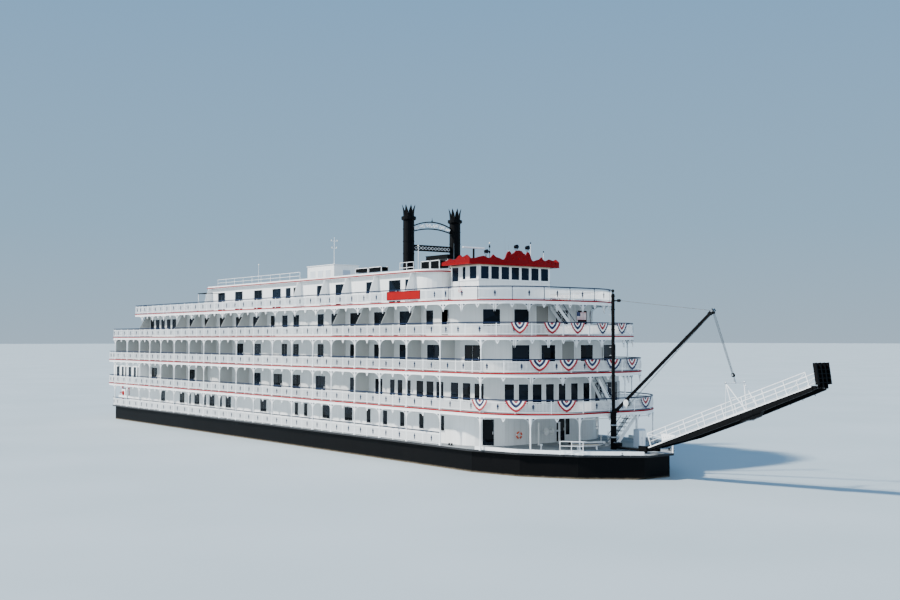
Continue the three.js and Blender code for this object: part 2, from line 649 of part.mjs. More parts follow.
// Outline of one spider: a hub and a ring with arms that reach out to the boards, and open bays between them.
function spiderOutline() {
  const { arms, armWidth, hubRadius, ringInner, ringOuter, radius } = WHEEL;
  const step = 2 * Math.PI / arms;
  const reach = radius - 4;
  const halfArm = armWidth / 2;
  const polar = (along, aside, angle) => [
    along * Math.cos(angle) - aside * Math.sin(angle), along * Math.sin(angle) + aside * Math.cos(angle)];
  const rim = [];
  for (let i = 0; i < arms; i += 1) {
    const angle = i * step;
    rim.push(polar(ringOuter, -halfArm, angle), polar(reach, -halfArm, angle));
    rim.push(polar(reach, halfArm, angle), polar(ringOuter, halfArm, angle));
  }
  const shape = polygon(rim);
  for (let i = 0; i < arms; i += 1) {
    const angle = i * step;
    shape.holes.push(polygon([
      polar(hubRadius, halfArm, angle), polar(ringInner, halfArm, angle),
      polar(ringInner, -halfArm, angle + step), polar(hubRadius, -halfArm, angle + step)]));
  }
  return shape;
}

function buildWheel() {
  const { x, z, half, shaftRadius, shaftHalf, arms } = WHEEL;
  const solids = [bar([x, -shaftHalf, z], [x, shaftHalf, z], shaftRadius, WHEEL.facets)];
  for (const y of WHEEL.spiders) {
    const thick = WHEEL.spiderThick / 2;
    solids.push(across(spiderOutline(), y - thick, y + thick).translate([x, 0, z]));
  }
  for (let i = 0; i < arms; i += 1) {
    const board = box(
      WHEEL.radius - WHEEL.boardDepth, WHEEL.radius, -half, half,
      WHEEL.armWidth / 2 - 2, WHEEL.armWidth / 2 - 2 + WHEEL.boardThick);
    solids.push(board.rotate([0, i * 360 / arms, 0]).translate([x, 0, z]));
  }
  place('sternwheel', join(solids), RED);
  for (const [name, side] of [['starboard_wheel_timber', -1], ['port_wheel_timber', 1]]) {
    const y = side * TIMBER.y;
    const deckTop = MAIN_DECK + SEAT;
    const beam = across(polygon([
      [TIMBER.forward, deckTop], [HULL.stern, deckTop], [x + 150, TIMBER.foot], [TIMBER.aft, TIMBER.foot],
      [TIMBER.aft, TIMBER.top], [TIMBER.forward, TIMBER.top],
    ]), y - TIMBER.half, y + TIMBER.half);
    const block = box(
      x - TIMBER.bearingHalf, x + TIMBER.bearingHalf, y - TIMBER.half, y + TIMBER.half,
      TIMBER.foot, TIMBER.bearingTop);
    const bore = bar([x, y - 100, z], [x, y + 100, z], BEARING_BORE, WHEEL.facets);
    place(name, beam.add(block).subtract(bore), WHITE);
  }
}

function buildRudders() {
  const names = ['starboard_rudder', 'centre_rudder', 'port_rudder'];
  RUDDER.ys.forEach((y, i) => {
    const blade = box(
      RUDDER.aft, RUDDER.forward, y - RUDDER.thick / 2, y + RUDDER.thick / 2, RUDDER.foot, RUDDER.top);
    const stock = bar([RUDDER.x, y, RUDDER.foot], [RUDDER.x, y, RUDDER.bossFoot - SEAT], RUDDER.stock, 12);
    place(names[i], blade.add(stock), BLACK);
  });
}

function buildDerrick() {
  const pinEnd = HEEL.cheekHalf;
  const { x, top, radius, boss, ball, ballStem, armZ, armReach, armHalf, armDepth } = MAST;
  const beamAft = STAGE_PIN.x - HEEL.cheekAft;
  const mast = join([
    bar([x, 0, MAST.foot], [x, 0, top], radius, 12),
    bar([x, 0, MAST.foot], [x, 0, MAST.foot + MAST.flangeThick], MAST.flange, 12),
    bar([x, 0, HEEL.low - 6], [x, 0, HEEL.high + 10], boss, 12),
    turned([
      [0, top - 1], [ballStem, top - 1], [ballStem, top + 1.1 * ball], [ball, top + 1.7 * ball],
      [ball, top + 2.4 * ball],
      [ballStem, top + 3.1 * ball], [0, top + 3.2 * ball],
    ], x, 0, 10),
    box(x, beamAft + HEEL.beam - 4, -HEEL.half, HEEL.half, HEEL.low, HEEL.high),
    box(beamAft, beamAft + HEEL.beam, -pinEnd, pinEnd, HEEL.low, HEEL.high),
    ...[-1, 1].map((side) => {
      const y = side * (pinEnd - HEEL.cheekThick / 2);
      return box(beamAft, STAGE_PIN.x + HEEL.cheekFront, y - HEEL.cheekThick / 2, y + HEEL.cheekThick / 2,
        HEEL.low, HEEL.cheekTop);
    }),
    bar([STAGE_PIN.x, -pinEnd, STAGE_PIN.z], [STAGE_PIN.x, pinEnd, STAGE_PIN.z], STAGE_PIN.radius, 12),
    ...[-1, 1].map((side) => {
      const y = side * BOOM_CHEEK.y;
      return box(x + BOOM_CHEEK.root, BOOM_PIN.x + BOOM_CHEEK.reach, y - BOOM_CHEEK.half, y + BOOM_CHEEK.half,
        BOOM_PIN.z - BOOM_CHEEK.rise, BOOM_PIN.z + BOOM_CHEEK.rise);
    }),
    box(
      x + BOOM_CHEEK.root, x + BOOM_CHEEK.back,
      -BOOM_CHEEK.y - BOOM_CHEEK.half, BOOM_CHEEK.y + BOOM_CHEEK.half,
      BOOM_PIN.z - BOOM_CHEEK.rise, BOOM_PIN.z + BOOM_CHEEK.rise),
    bar(
      [BOOM_PIN.x, -BOOM_PIN.half, BOOM_PIN.z], [BOOM_PIN.x, BOOM_PIN.half, BOOM_PIN.z],
      BOOM_PIN.radius, 12),
    box(x, x + armReach, -armHalf, armHalf, armZ - armDepth / 2, armZ + armDepth / 2),
  ]);
  place('mast', mast, BLACK);

  const rise = BOOM_TIP.z - BOOM_PIN.z;
  const run = BOOM_TIP.x - BOOM_PIN.x;
  const boomLength = Math.hypot(run, rise);
  const boomGroup = new THREE.Group();
  boomGroup.position.set(BOOM_PIN.x, 0, BOOM_PIN.z);
  boomGroup.rotation.y = -Math.atan2(rise, run);
  boat.add(boomGroup);
  const headStart = boomLength - BOOM.headStart;
  const headEnd = boomLength + BOOM.headRadius;
  const boom = join([
    box(0, boomLength - BOOM.end, -BOOM.half, BOOM.half, -BOOM.depth / 2, BOOM.depth / 2),
    bar([0, -BOOM.eyeHalf, 0], [0, BOOM.eyeHalf, 0], BOOM.eyeRadius, 12),
    bar([DRUM.x, -DRUM.half, DRUM.z], [DRUM.x, DRUM.half, DRUM.z], DRUM.radius, 12),
    box(DRUM.x - DRUM.bracket, DRUM.x + DRUM.bracket, -DRUM.bracketHalf, DRUM.bracketHalf, DRUM.z, 0),
    ...[-1, 1].map((side) => box(
      headStart, headEnd, side * BOOM.headY - BOOM.headThick, side * BOOM.headY + BOOM.headThick,
      -BOOM.headHalf, BOOM.headHalf)),
    bar([boomLength, -FALLS_PIN.half, 0], [boomLength, FALLS_PIN.half, 0], FALLS_PIN.radius, 12),
  ]).subtract(bar([0, -2 * BOOM_PIN.half, 0], [0, 2 * BOOM_PIN.half, 0], BOOM_PIN.bore, 12));
  place('boom', boom, BLACK, boomGroup);

  const drop = Math.hypot(HOOK.x - BOOM_TIP.x, HOOK.z - BOOM_TIP.z);
  const fallsGroup = new THREE.Group();
  fallsGroup.position.set(BOOM_TIP.x, 0, BOOM_TIP.z);
  fallsGroup.rotation.y = Math.atan2(BOOM_TIP.x - HOOK.x, BOOM_TIP.z - HOOK.z);
  boat.add(fallsGroup);
  const falls = join([
    bar([0, -FALLS.sheaveHalf, 0], [0, FALLS.sheaveHalf, 0], FALLS.sheave, 12),
    box(-FALLS.strap, FALLS.strap, -FALLS.sheaveHalf, FALLS.sheaveHalf, FALLS.strapFoot, -FALLS.sheaveHalf),
    ...[-1, 1].map((side) => box(
      side * FALLS.wireY - FALLS.wireHalf, side * FALLS.wireY + FALLS.wireHalf,
      -FALLS.wireHalf, FALLS.wireHalf,
      FALLS.blockHigh - FALLS.blockLap - drop, FALLS.strapFoot + FALLS.blockLap / 2)),
    box(-FALLS.block, FALLS.block, -FALLS.blockHalf, FALLS.blockHalf, -drop, FALLS.blockHigh - drop),
    box(-FALLS.hook, FALLS.hook, -FALLS.hook, FALLS.hook, -drop - FALLS.hookLow, 4 - drop),
  ]).subtract(bar([0, -2 * FALLS_PIN.half, 0], [0, 2 * FALLS_PIN.half, 0], FALLS_PIN.bore, 12));
  place('falls', falls, BLACK, fallsGroup);
}

function buildStage() {
  const group = new THREE.Group();
  group.position.set(STAGE_PIN.x, 0, STAGE_PIN.z);
  group.rotation.y = -STAGE_TILT;
  boat.add(group);
  const { length, half, girder, footDepth, taper, girderThick, start, flatEnd, beams } = STAGE;
  const side = polygon([
    [start, 0], [start, -footDepth], [taper, -girder], [flatEnd, -girder], [length, -0.7 * girder],
    [length, 0],
  ]);
  const solids = [box(start, length, -half, half, -STAGE.deck, 0)];
  for (const s of [-1, 1]) {
    const y = s * (half - girderThick / 2);
    solids.push(across(side, y - girderThick / 2, y + girderThick / 2));
    const lugY = s * STAGE.lugY;
    solids.push(box(
      -STAGE.lugAft, start + STAGE.lugRoot, lugY - STAGE.lug / 2, lugY + STAGE.lug / 2,
      -STAGE.lugLow, STAGE.lugHigh));
    const apronLug = s * APRON.stageLugY;
    solids.push(box(
      length - STAGE.lugRoot, APRON.x + 6, apronLug - APRON.lugHalf, apronLug + APRON.lugHalf,
      APRON.pinZ - APRON.stageLugHalf, APRON.pinZ + APRON.stageLugHalf));
  }
  for (let i = 1; i <= beams; i += 1) {
    const x = start + i * (length - start) / (beams + 1);
    solids.push(box(x - STAGE.beam / 2, x + STAGE.beam / 2, -half + 2, half - 2, -footDepth, -2));
  }
  const pinEnd = APRON.stageLugY + APRON.lugHalf;
  solids.push(bar([APRON.x, -pinEnd, APRON.pinZ], [APRON.x, pinEnd, APRON.pinZ], APRON.pinRadius, 12));
  const frame = join(solids).subtract(bar([0, -half, 0], [0, half, 0], STAGE_PIN.bore, 12));
  place('stage', frame, BLACK, group);
  const rails = [-1, 1].map((s) => stageRail(s * (half - STAGE.railThick / 2)));
  place('stage_rails', join([...rails, bridle()]), WHITE, group);
  buildApron(group);
}

// The folding end, in a frame at its pin: it leans out a little from square to the deck.
function buildApron(stageGroup) {
  const { height, half, ribs, back, front, ribFront, foot, lugHalf, lugReach, notch, notchTop } = APRON;
  const group = new THREE.Group();
  group.position.set(APRON.x, 0, APRON.pinZ);
  group.rotation.y = APRON.lean;
  stageGroup.add(group);
  const solids = [box(back, front, -half, half, foot, height)];
  for (let i = 0; i < ribs; i += 1) {
    const y = (i / (ribs - 1) * 2 - 1) * (half - lugHalf);
    solids.push(box(front - 2, ribFront, y - lugHalf, y + lugHalf, foot, height));
  }
  for (const s of [-1, 1]) {
    const y = s * APRON.lugY;
    solids.push(box(-lugReach, front - 2, y - lugHalf, y + lugHalf, -lugReach, lugReach));
  }
  const bored = join(solids).subtract(bar([0, -half, 0], [0, half, 0], APRON.bore, 12));
  const notches = [-1, 1].map((s) => {
    const y = s * APRON.stageLugY;
    return box(back - 2, ribFront + 1, y - notch - lugHalf, y + notch + lugHalf, foot - 1, notchTop);
  });
  place('stage_apron', notches.reduce((solid, cut) => solid.subtract(cut), bored), BLACK, group);
}

function stageRail(y) {
  const { length, railHeight, railThick, posts, start, railStart, railEnd } = STAGE;
  const y0 = y - railThick / 2;
  const y1 = y + railThick / 2;
  const first = start + railStart;
  const last = length - railEnd;
  const openings = [];
  const pitch = (last - first - 8) / (posts - 1);
  for (let i = 0; i + 1 < posts; i += 1) {
    const x0 = first + 8 + i * pitch;
    const x1 = x0 + pitch - 8;
    for (const [low, high] of [[8, 44], [50, railHeight - 8]]) {
      openings.push([[x0, low], [x1, low], [x1, high], [x0, high]]);
    }
  }
  const outline = [[first, SEAT], [last, SEAT], [last, railHeight], [first, railHeight]];
  return pierced(outline, openings, y0, y1);
}

// Frame that hangs the stage: a bar across, and two legs on each side that lean in to the deck.
function bridle() {
  const { x, top, feet, bar: size, topHalf, footHalf } = BRIDLE;
  const solids = [box(x - size / 2, x + size / 2, -topHalf, topHalf, top - size, top)];
  for (const side of [-1, 1]) {
    for (const foot of feet) {
      const y = side * footHalf;
      solids.push(box(foot - size, foot + size, y - size / 2, y + size / 2, SEAT, size));
      solids.push(bar([foot, y, size / 2], [x, side * (topHalf - size / 2), top - size / 2], size * 0.6, 6));
    }
  }
  return join(solids);
}

// A flight of steps as one notched block that climbs across the boat.
function flight({ low, high, x, y, run, climb }) {
  const foot = low + SEAT;
  const rise = (high - DECK_PLATE - FASCIA.depth - STAIR.clear - foot) / STAIR.steps;
  const going = run / STAIR.steps;
  const outline = [[STAIR.depth, foot], [0, foot]];
  for (let i = 0; i < STAIR.steps; i += 1) {
    outline.push([i * going, foot + (i + 1) * rise], [(i + 1) * going, foot + (i + 1) * rise]);
  }
  outline.push([run, foot + STAIR.steps * rise - STAIR.depth]);
  const shape = polygon(outline.map(([ahead, z]) => [y + climb * ahead, z]));
  return along(shape, x - STAIR.width / 2, x + STAIR.width / 2);
}

function buildStairs() {
  for (const stair of STAIRS) {
    place(stair.name, flight(stair), WHITE);
  }
}

function buildRoofHouse() {
  const { aft, front, half, top } = ROOF_HOUSE;
  place('roof_house', box(aft, front, -half, half, ROOF.top + SEAT, top), WHITE);
}

buildHull();
buildDecks();
buildHouses();
buildGalleries();
buildPilothouse();
buildStacks();
buildWheel();
buildRudders();
buildDerrick();
buildStage();
buildStairs();
buildRoofHouse();

export default boat;
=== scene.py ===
"""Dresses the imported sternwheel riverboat: joinery, ironwork, rigging, bunting and every finish."""
import logging
import math
from contextlib import contextmanager
from dataclasses import dataclass, field
from enum import Enum, IntEnum
from typing import Iterator, Sequence

import bpy
import bmesh
from mathutils import Matrix, Vector
from mathutils.geometry import tessellate_polygon


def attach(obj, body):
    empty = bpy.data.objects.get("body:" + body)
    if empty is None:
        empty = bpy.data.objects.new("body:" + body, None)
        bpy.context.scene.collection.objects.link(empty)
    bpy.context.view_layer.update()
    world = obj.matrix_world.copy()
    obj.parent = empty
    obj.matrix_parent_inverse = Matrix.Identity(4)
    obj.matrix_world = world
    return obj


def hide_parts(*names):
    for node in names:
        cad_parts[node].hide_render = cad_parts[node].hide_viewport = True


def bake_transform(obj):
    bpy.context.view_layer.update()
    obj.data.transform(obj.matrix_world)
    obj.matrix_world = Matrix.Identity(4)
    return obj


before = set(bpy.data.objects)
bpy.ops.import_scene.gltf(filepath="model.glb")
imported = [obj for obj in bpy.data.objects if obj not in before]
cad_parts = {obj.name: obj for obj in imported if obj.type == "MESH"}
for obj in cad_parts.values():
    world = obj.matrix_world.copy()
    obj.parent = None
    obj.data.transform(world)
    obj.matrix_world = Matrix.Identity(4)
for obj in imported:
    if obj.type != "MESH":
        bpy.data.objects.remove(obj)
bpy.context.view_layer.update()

METRE = 0.001
LOG = logging.getLogger("riverboat")

Point2 = tuple[float, float]
Point3 = tuple[float, float, float]
Shade = tuple[float, float, float, float]


class Side(IntEnum):
    """Side of the boat. Its value is the sign of Y there."""

    STARBOARD = -1
    PORT = 1

    @property
    def label(self) -> str:
        """The side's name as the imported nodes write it."""
        return self.name.lower()


def linear(code: str) -> Shade:
    """Turns an sRGB hex colour into the linear colour that a shader takes.

    Args:
        code: six hex digits.

    Returns:
        Red, green, blue and an alpha of one.
    """
    parts = [int(code[i:i + 2], 16) / 255 for i in (0, 2, 4)]
    low = [p / 12.92 if p <= 0.04045 else ((p + 0.055) / 1.055) ** 2.4 for p in parts]
    return (low[0], low[1], low[2], 1.0)


def per_mm(spacing: float) -> float:
    """Texture scale that repeats a pattern at a spacing in millimetres."""
    return 1.0 / (spacing * METRE)


def add_node(tree: bpy.types.NodeTree, kind: str, inputs: dict | None = None,
             stops: Sequence[tuple[float, float | Shade]] = (), **settings) -> bpy.types.Node:
    """Adds one node to a tree, with its settings and what feeds its inputs.

    Args:
        tree: the node tree that takes the node.
        kind: the node's type name in Blender.
        inputs: for each socket, by name or number, a value or the output socket that is linked to it.
        stops: for a colour ramp, the place and the linear colour or grey level of each stop.
        **settings: attributes of the node.

    Returns:
        The new node.
    """
    node = tree.nodes.new(kind)
    for name, value in settings.items():
        setattr(node, name, value)
    for key, value in (inputs or {}).items():
        if isinstance(value, bpy.types.NodeSocket):
            tree.links.new(value, node.inputs[key])
        else:
            node.inputs[key].default_value = value
    if stops:
        elements = node.color_ramp.elements
        while len(elements) < len(stops):
            elements.new(0.5)
        for element, (place, colour) in zip(elements, stops):
            element.position = place
            element.color = colour if isinstance(colour, tuple) else (colour, colour, colour, 1.0)
    return node


class Coat:
    """A material's node tree and principled shader while a finish is drawn on them.

    Attributes:
        tree: the material's node tree.
        shader: its principled shader.
        place: each point's place on the boat, in metres.
        colour: the base colour as it is drawn so far.
    """

    def __init__(self, tree: bpy.types.NodeTree) -> None:
        """Starts an empty material.

        Args:
            tree: its node tree.
        """
        tree.nodes.clear()
        self.tree = tree
        self.shader = add_node(tree, "ShaderNodeBsdfPrincipled")
        add_node(tree, "ShaderNodeOutputMaterial", {"Surface": self.shader.outputs["BSDF"]})
        self.place = add_node(tree, "ShaderNodeTexCoord").outputs["Object"]
        self.colour: bpy.types.NodeSocket | None = None

    def put(self, **values: float) -> None:
        """Sets plain values of the shader, by the socket's name with underscores."""
        for name, value in values.items():
            self.shader.inputs[name.replace("_", " ")].default_value = value

    def mix(self, share: bpy.types.NodeSocket, under: Shade | bpy.types.NodeSocket,
            over: Shade | bpy.types.NodeSocket) -> None:
        """Makes the base colour a mixture of two.

        Args:
            share: how much of the second colour shows, from 0 to 1.
            under: the first colour.
            over: the second colour.
        """
        mixed = add_node(self.tree, "ShaderNodeMix", {0: share, 6: under, 7: over}, data_type="RGBA")
        self.colour = mixed.outputs[2]
        self.tree.links.new(self.colour, self.shader.inputs["Base Color"])

    def patch(self, factor: bpy.types.NodeSocket, stops: Sequence[tuple[float, float]], under: str,
              over: str) -> None:
        """Mixes two sRGB hex colours; each stop is a level of the texture and the second one's share."""
        share = add_node(self.tree, "ShaderNodeValToRGB", {"Fac": factor}, stops)
        self.mix(share.outputs["Color"], linear(under), linear(over))

    def gloss(self, factor: bpy.types.NodeSocket, low: float, high: float) -> None:
        """Varies the roughness from low to high with a texture."""
        rough = add_node(self.tree, "ShaderNodeMapRange", {"Value": factor, "To Min": low, "To Max": high})
        self.tree.links.new(rough.outputs[0], self.shader.inputs["Roughness"])

    def lift(self, height: bpy.types.NodeSocket, strength: float, rise: float) -> None:
        """Raises a relief from a texture.

        Args:
            height: the texture.
            strength: how plainly the relief shows, from 0 to 1.
            rise: its height in millimetres.
        """
        bump = add_node(
            self.tree, "ShaderNodeBump", {"Height": height, "Strength": strength, "Distance": rise * METRE})
        self.tree.links.new(bump.outputs[0], self.shader.inputs["Normal"])


@dataclass(frozen=True)
class Finish:
    """A surface finish. Subclasses say what the surface is made of and draw it.

    Attributes:
        name: plain name of the finish, which is the material's name too.
    """

    name: str

    def paint(self, coat: Coat) -> None:
        """Draws the finish on the coat of its material."""
        raise NotImplementedError

    def material(self) -> bpy.types.Material:
        """Makes the material once, and returns it after that.

        Returns:
            The material.
        """
        made = bpy.data.materials.get(self.name)
        if not made:
            made = bpy.data.materials.new(self.name)
            made.use_nodes = True
            self.paint(Coat(made.node_tree))
        return made


@dataclass(frozen=True)
class Enamel(Finish):
    """Alkyd enamel, brushed and rolled on steel: an even colour with faint weathering and soft brush marks.

    Attributes:
        colour: sRGB hex of clean paint.
        stain: sRGB hex of the grime that rain draws down over it.
        roughness: typical value for the paint's gloss.
        dirt: share of the surface that the grime takes, from 0 to 1.
        streak_mm: spacing of the rain streaks.
        squeeze: how much slower a streak changes down the wall than across it.
        cloud: how many times coarser than the streaks the patches of wear are.
        grain_mm: spacing of the brush marks, drawn coarser than real so that they show.
        relief: height of the brush marks, in millimetres.
        sheen: strength of the surface reflection, less than 0.5 where matt grime dulls it.
    """

    colour: str = "f2f3f2"
    stain: str = "b7b2a6"
    roughness: float = 0.36
    dirt: float = 0.25
    streak_mm: float = 26.0
    squeeze: float = 0.16
    cloud: float = 14
    grain_mm: float = 3.0
    relief: float = 0.12
    sheen: float = 0.5

    def paint(self, coat: Coat) -> None:
        """Mixes grime into the paint in tall streaks, and lifts fine brush marks.

        Args:
            coat: the coat of its material.
        """
        tree, place = coat.tree, coat.place
        tall = add_node(tree, "ShaderNodeMapping", {"Vector": place, "Scale": (1.0, 1.0, self.squeeze)})
        streaks = add_node(
            tree, "ShaderNodeTexNoise",
            {"Vector": tall.outputs[0], "Scale": per_mm(self.streak_mm), "Detail": 4.0, "Roughness": 0.6})
        clouds = add_node(
            tree, "ShaderNodeTexNoise",
            {"Vector": place, "Scale": per_mm(self.cloud * self.streak_mm), "Detail": 3.0}).outputs["Fac"]
        both = add_node(
            tree, "ShaderNodeMath", {0: streaks.outputs["Fac"], 1: clouds}, operation="MULTIPLY")
        coat.patch(both.outputs[0], [(0.2, 0.0), (0.52, self.dirt)], self.colour, self.stain)
        coat.gloss(clouds, self.roughness - 0.06, self.roughness + 0.12)
        marks = add_node(
            tree, "ShaderNodeTexNoise", {"Vector": place, "Scale": per_mm(self.grain_mm), "Detail": 2.0})
        coat.lift(marks.outputs["Fac"], 0.25, self.relief)
        coat.put(Specular_IOR_Level=self.sheen)


@dataclass(frozen=True)
class PanelledEnamel(Enamel):
    """Enamel on sheet steel cabin walls: upright seams between the sheets, with a little grime in them.

    Attributes:
        sheet_mm: width of one sheet.
        seam: share of a sheet's width, at each edge, that its seam takes.
        soil: how much of the grime's colour a seam shows, from 0 to 1.
    """

    sheet_mm: float = 60.0
    seam: float = 0.03
    soil: float = 0.35

    def paint(self, coat: Coat) -> None:
        """Draws the enamel, then a narrow dark seam at each sheet's edge.

        Args:
            coat: the coat of its material.
        """
        super().paint(coat)
        tree = coat.tree
        parts = add_node(tree, "ShaderNodeSeparateXYZ", {0: coat.place})
        along = add_node(tree, "ShaderNodeMath", {0: parts.outputs[0], 1: parts.outputs[1]}, operation="ADD")
        turns = add_node(
            tree, "ShaderNodeMath", {0: along.outputs[0], 1: per_mm(self.sheet_mm)}, operation="MULTIPLY")
        within = add_node(tree, "ShaderNodeMath", {0: turns.outputs[0]}, operation="FRACT")
        stops = [(0.0, self.soil), (self.seam, 0.0), (1 - self.seam, 0.0), (1.0, self.soil)]
        seams = add_node(tree, "ShaderNodeValToRGB", {"Fac": within.outputs[0]}, stops)
        coat.mix(seams.outputs["Color"], coat.colour, linear(self.stain))


@dataclass(frozen=True)
class HullPaint(Enamel):
    """Black hull enamel over red antifouling, with a band of silt and scuffs just above the water.

    Attributes:
        bottom: sRGB hex of the antifouling paint.
        silt: sRGB hex of the dried silt.
        waterline_mm: height of the water over the flat bottom.
        ragged_mm: how far the band's edges wander.
        wander_mm: spacing of their wanderings.
        fade_mm: heights over the water where the silt starts to thin out, and where it ends.
        soak_mm: depths under the water where the silt starts, and where it covers.
    """

    bottom: str = "6e2a22"
    silt: str = "6f6452"
    waterline_mm: float = 210.0
    ragged_mm: float = 12
    wander_mm: float = 33.3333
    fade_mm: Point2 = (4, 22)
    soak_mm: Point2 = (-6, -2)

    def paint(self, coat: Coat) -> None:
        """Draws the enamel, and splits the colour at the waterline by height.

        Args:
            coat: the coat of its material.
        """
        super().paint(coat)
        tree, enamel = coat.tree, coat.colour
        height = add_node(tree, "ShaderNodeSeparateXYZ", {0: coat.place}).outputs[2]
        noise = add_node(
            tree, "ShaderNodeTexNoise",
            {"Vector": coat.place, "Scale": per_mm(self.wander_mm), "Detail": 5.0})
        wander = add_node(
            tree, "ShaderNodeMath", {0: noise.outputs["Fac"], 1: self.ragged_mm * METRE, 2: height},
            operation="MULTIPLY_ADD").outputs[0]
        low = self.waterline_mm * METRE
        above, under = (
            add_node(tree, "ShaderNodeMapRange",
                     {"Value": wander, "From Min": low + start * METRE,
                      "From Max": low + end * METRE}).outputs[0]
            for start, end in (self.fade_mm, self.soak_mm))
        coat.mix(under, linear(self.bottom), linear(self.silt))
        coat.mix(above, coat.colour, enamel)


@dataclass(frozen=True)
class DeckPaint(Finish):
    """Non-skid deck paint: grey alkyd with silica grit, worn paler where people walk.

    Attributes:
        colour: sRGB hex of fresh paint.
        worn: sRGB hex of worn paint.
        wear_mm: size of the worn patches.
        grit_mm: spacing of the grit, drawn coarser than real so that it shows.
    """

    colour: str = "7d8387"
    worn: str = "a3a6a5"
    wear_mm: float = 142.857
    grit_mm: float = 1.6

    def paint(self, coat: Coat) -> None:
        """Mixes worn patches into the paint and lifts the grit.

        Args:
            coat: the coat of its material.
        """
        wear = add_node(
            coat.tree, "ShaderNodeTexNoise",
            {"Vector": coat.place, "Scale": per_mm(self.wear_mm), "Detail": 6.0})
        coat.patch(wear.outputs["Fac"], [(0.4, 0.0), (0.65, 0.8)], self.colour, self.worn)
        grit = add_node(
            coat.tree, "ShaderNodeTexVoronoi", {"Vector": coat.place, "Scale": per_mm(self.grit_mm)})
        coat.lift(grit.outputs["Distance"], 0.5, 0.4)
        coat.put(Roughness=0.82)


@dataclass(frozen=True)
class GuardedDeck(DeckPaint):
    """Deck paint on top, and the black rubbing strake round the deck's edge.

    Attributes:
        strake: sRGB hex of the strake's paint.
    """

    strake: str = "1b1d20"

    def paint(self, coat: Coat) -> None:
        """Draws the deck paint, then the strake's colour on faces that don't look up.

        Args:
            coat: the coat of its material.
        """
        super().paint(coat)
        facing = add_node(coat.tree, "ShaderNodeNewGeometry").outputs["True Normal"]
        upward = add_node(coat.tree, "ShaderNodeSeparateXYZ", {0: facing}).outputs[2]
        top = add_node(coat.tree, "ShaderNodeMapRange", {"Value": upward, "From Min": 0.4, "From Max": 0.6})
        coat.mix(top.outputs[0], linear(self.strake), coat.colour)


@dataclass(frozen=True)
class TintedGlass(Finish):
    """Solar-control float glass: nearly black from outside, with a slight waviness that bends reflections.

    Attributes:
        colour: sRGB hex seen into the glass.
        other: sRGB hex of the paler panes, where a curtain is drawn.
        pane_mm: size of the patches where the tone changes.
        wave_mm: spacing of the waviness.
        sheen: strength of the reflection, less than 0.5 for an anti-glare coating.
    """

    colour: str = "05080c"
    other: str = "101924"
    pane_mm: float = 170.0
    wave_mm: float = 71.4286
    sheen: float = 0.1

    def paint(self, coat: Coat) -> None:
        """Varies the tone from pane to pane and bends the surface slightly.

        Args:
            coat: the coat of its material.
        """
        panes = add_node(
            coat.tree, "ShaderNodeTexVoronoi", {"Vector": coat.place, "Scale": per_mm(self.pane_mm)},
            feature="F1")
        coat.patch(panes.outputs["Color"], [(0.35, 0.0), (0.9, 1.0)], self.colour, self.other)
        waves = add_node(
            coat.tree, "ShaderNodeTexNoise",
            {"Vector": coat.place, "Scale": per_mm(self.wave_mm), "Detail": 1.0})
        coat.lift(waves.outputs["Fac"], 0.1, 1.5)
        coat.put(Roughness=0.06, IOR=1.52, Specular_IOR_Level=self.sheen)


@dataclass(frozen=True)
class BareMetal(Finish):
    """Rolled or drawn metal with dull weathered patches.

    Attributes:
        colour: sRGB hex of the clean metal.
        dull: sRGB hex of the weathered metal.
        patch_mm: size of the dull patches.
        roughness: typical value for how it was finished.
    """

    colour: str = "b9bcbf"
    dull: str = "7f8387"
    patch_mm: float = 22.2222
    roughness: float = 0.34

    def paint(self, coat: Coat) -> None:
        """Mixes dull patches into the metal and varies its gloss.

        Args:
            coat: the coat of its material.
        """
        patches = add_node(
            coat.tree, "ShaderNodeTexNoise",
            {"Vector": coat.place, "Scale": per_mm(self.patch_mm), "Detail": 5.0}).outputs["Fac"]
        coat.patch(patches, [(0.42, 0.0), (0.7, 0.8)], self.colour, self.dull)
        coat.gloss(patches, self.roughness - 0.1, self.roughness + 0.2)
        coat.put(Metallic=1.0)


@dataclass(frozen=True)
class Cotton(Finish):
    """Plain-woven cotton bunting: a matt cloth with a soft sheen and a visible thread.

    Attributes:
        colour: sRGB hex of the dyed cloth.
        faded: sRGB hex where the sun has bleached it.
        patch_mm: size of the bleached patches.
        thread_mm: thread spacing, drawn coarser than real so that it shows.
        wave: scale at which a wave texture draws threads one metre apart.
    """

    colour: str = "f4f2ee"
    faded: str = "dcd8d0"
    patch_mm: float = 45.4545
    thread_mm: float = 1.0
    wave: float = 0.16

    def paint(self, coat: Coat) -> None:
        """Bleaches the cloth unevenly and raises its threads.

        Args:
            coat: the coat of its material.
        """
        sun = add_node(
            coat.tree, "ShaderNodeTexNoise",
            {"Vector": coat.place, "Scale": per_mm(self.patch_mm), "Detail": 3.0})
        coat.patch(sun.outputs["Fac"], [(0.35, 0.0), (0.7, 0.7)], self.colour, self.faded)
        weave = add_node(
            coat.tree, "ShaderNodeTexWave",
            {"Vector": coat.place, "Scale": self.wave * per_mm(self.thread_mm), "Distortion": 0.6})
        coat.lift(weave.outputs["Fac"], 0.4, 0.3)
        coat.put(Roughness=0.86, Sheen_Weight=0.25)


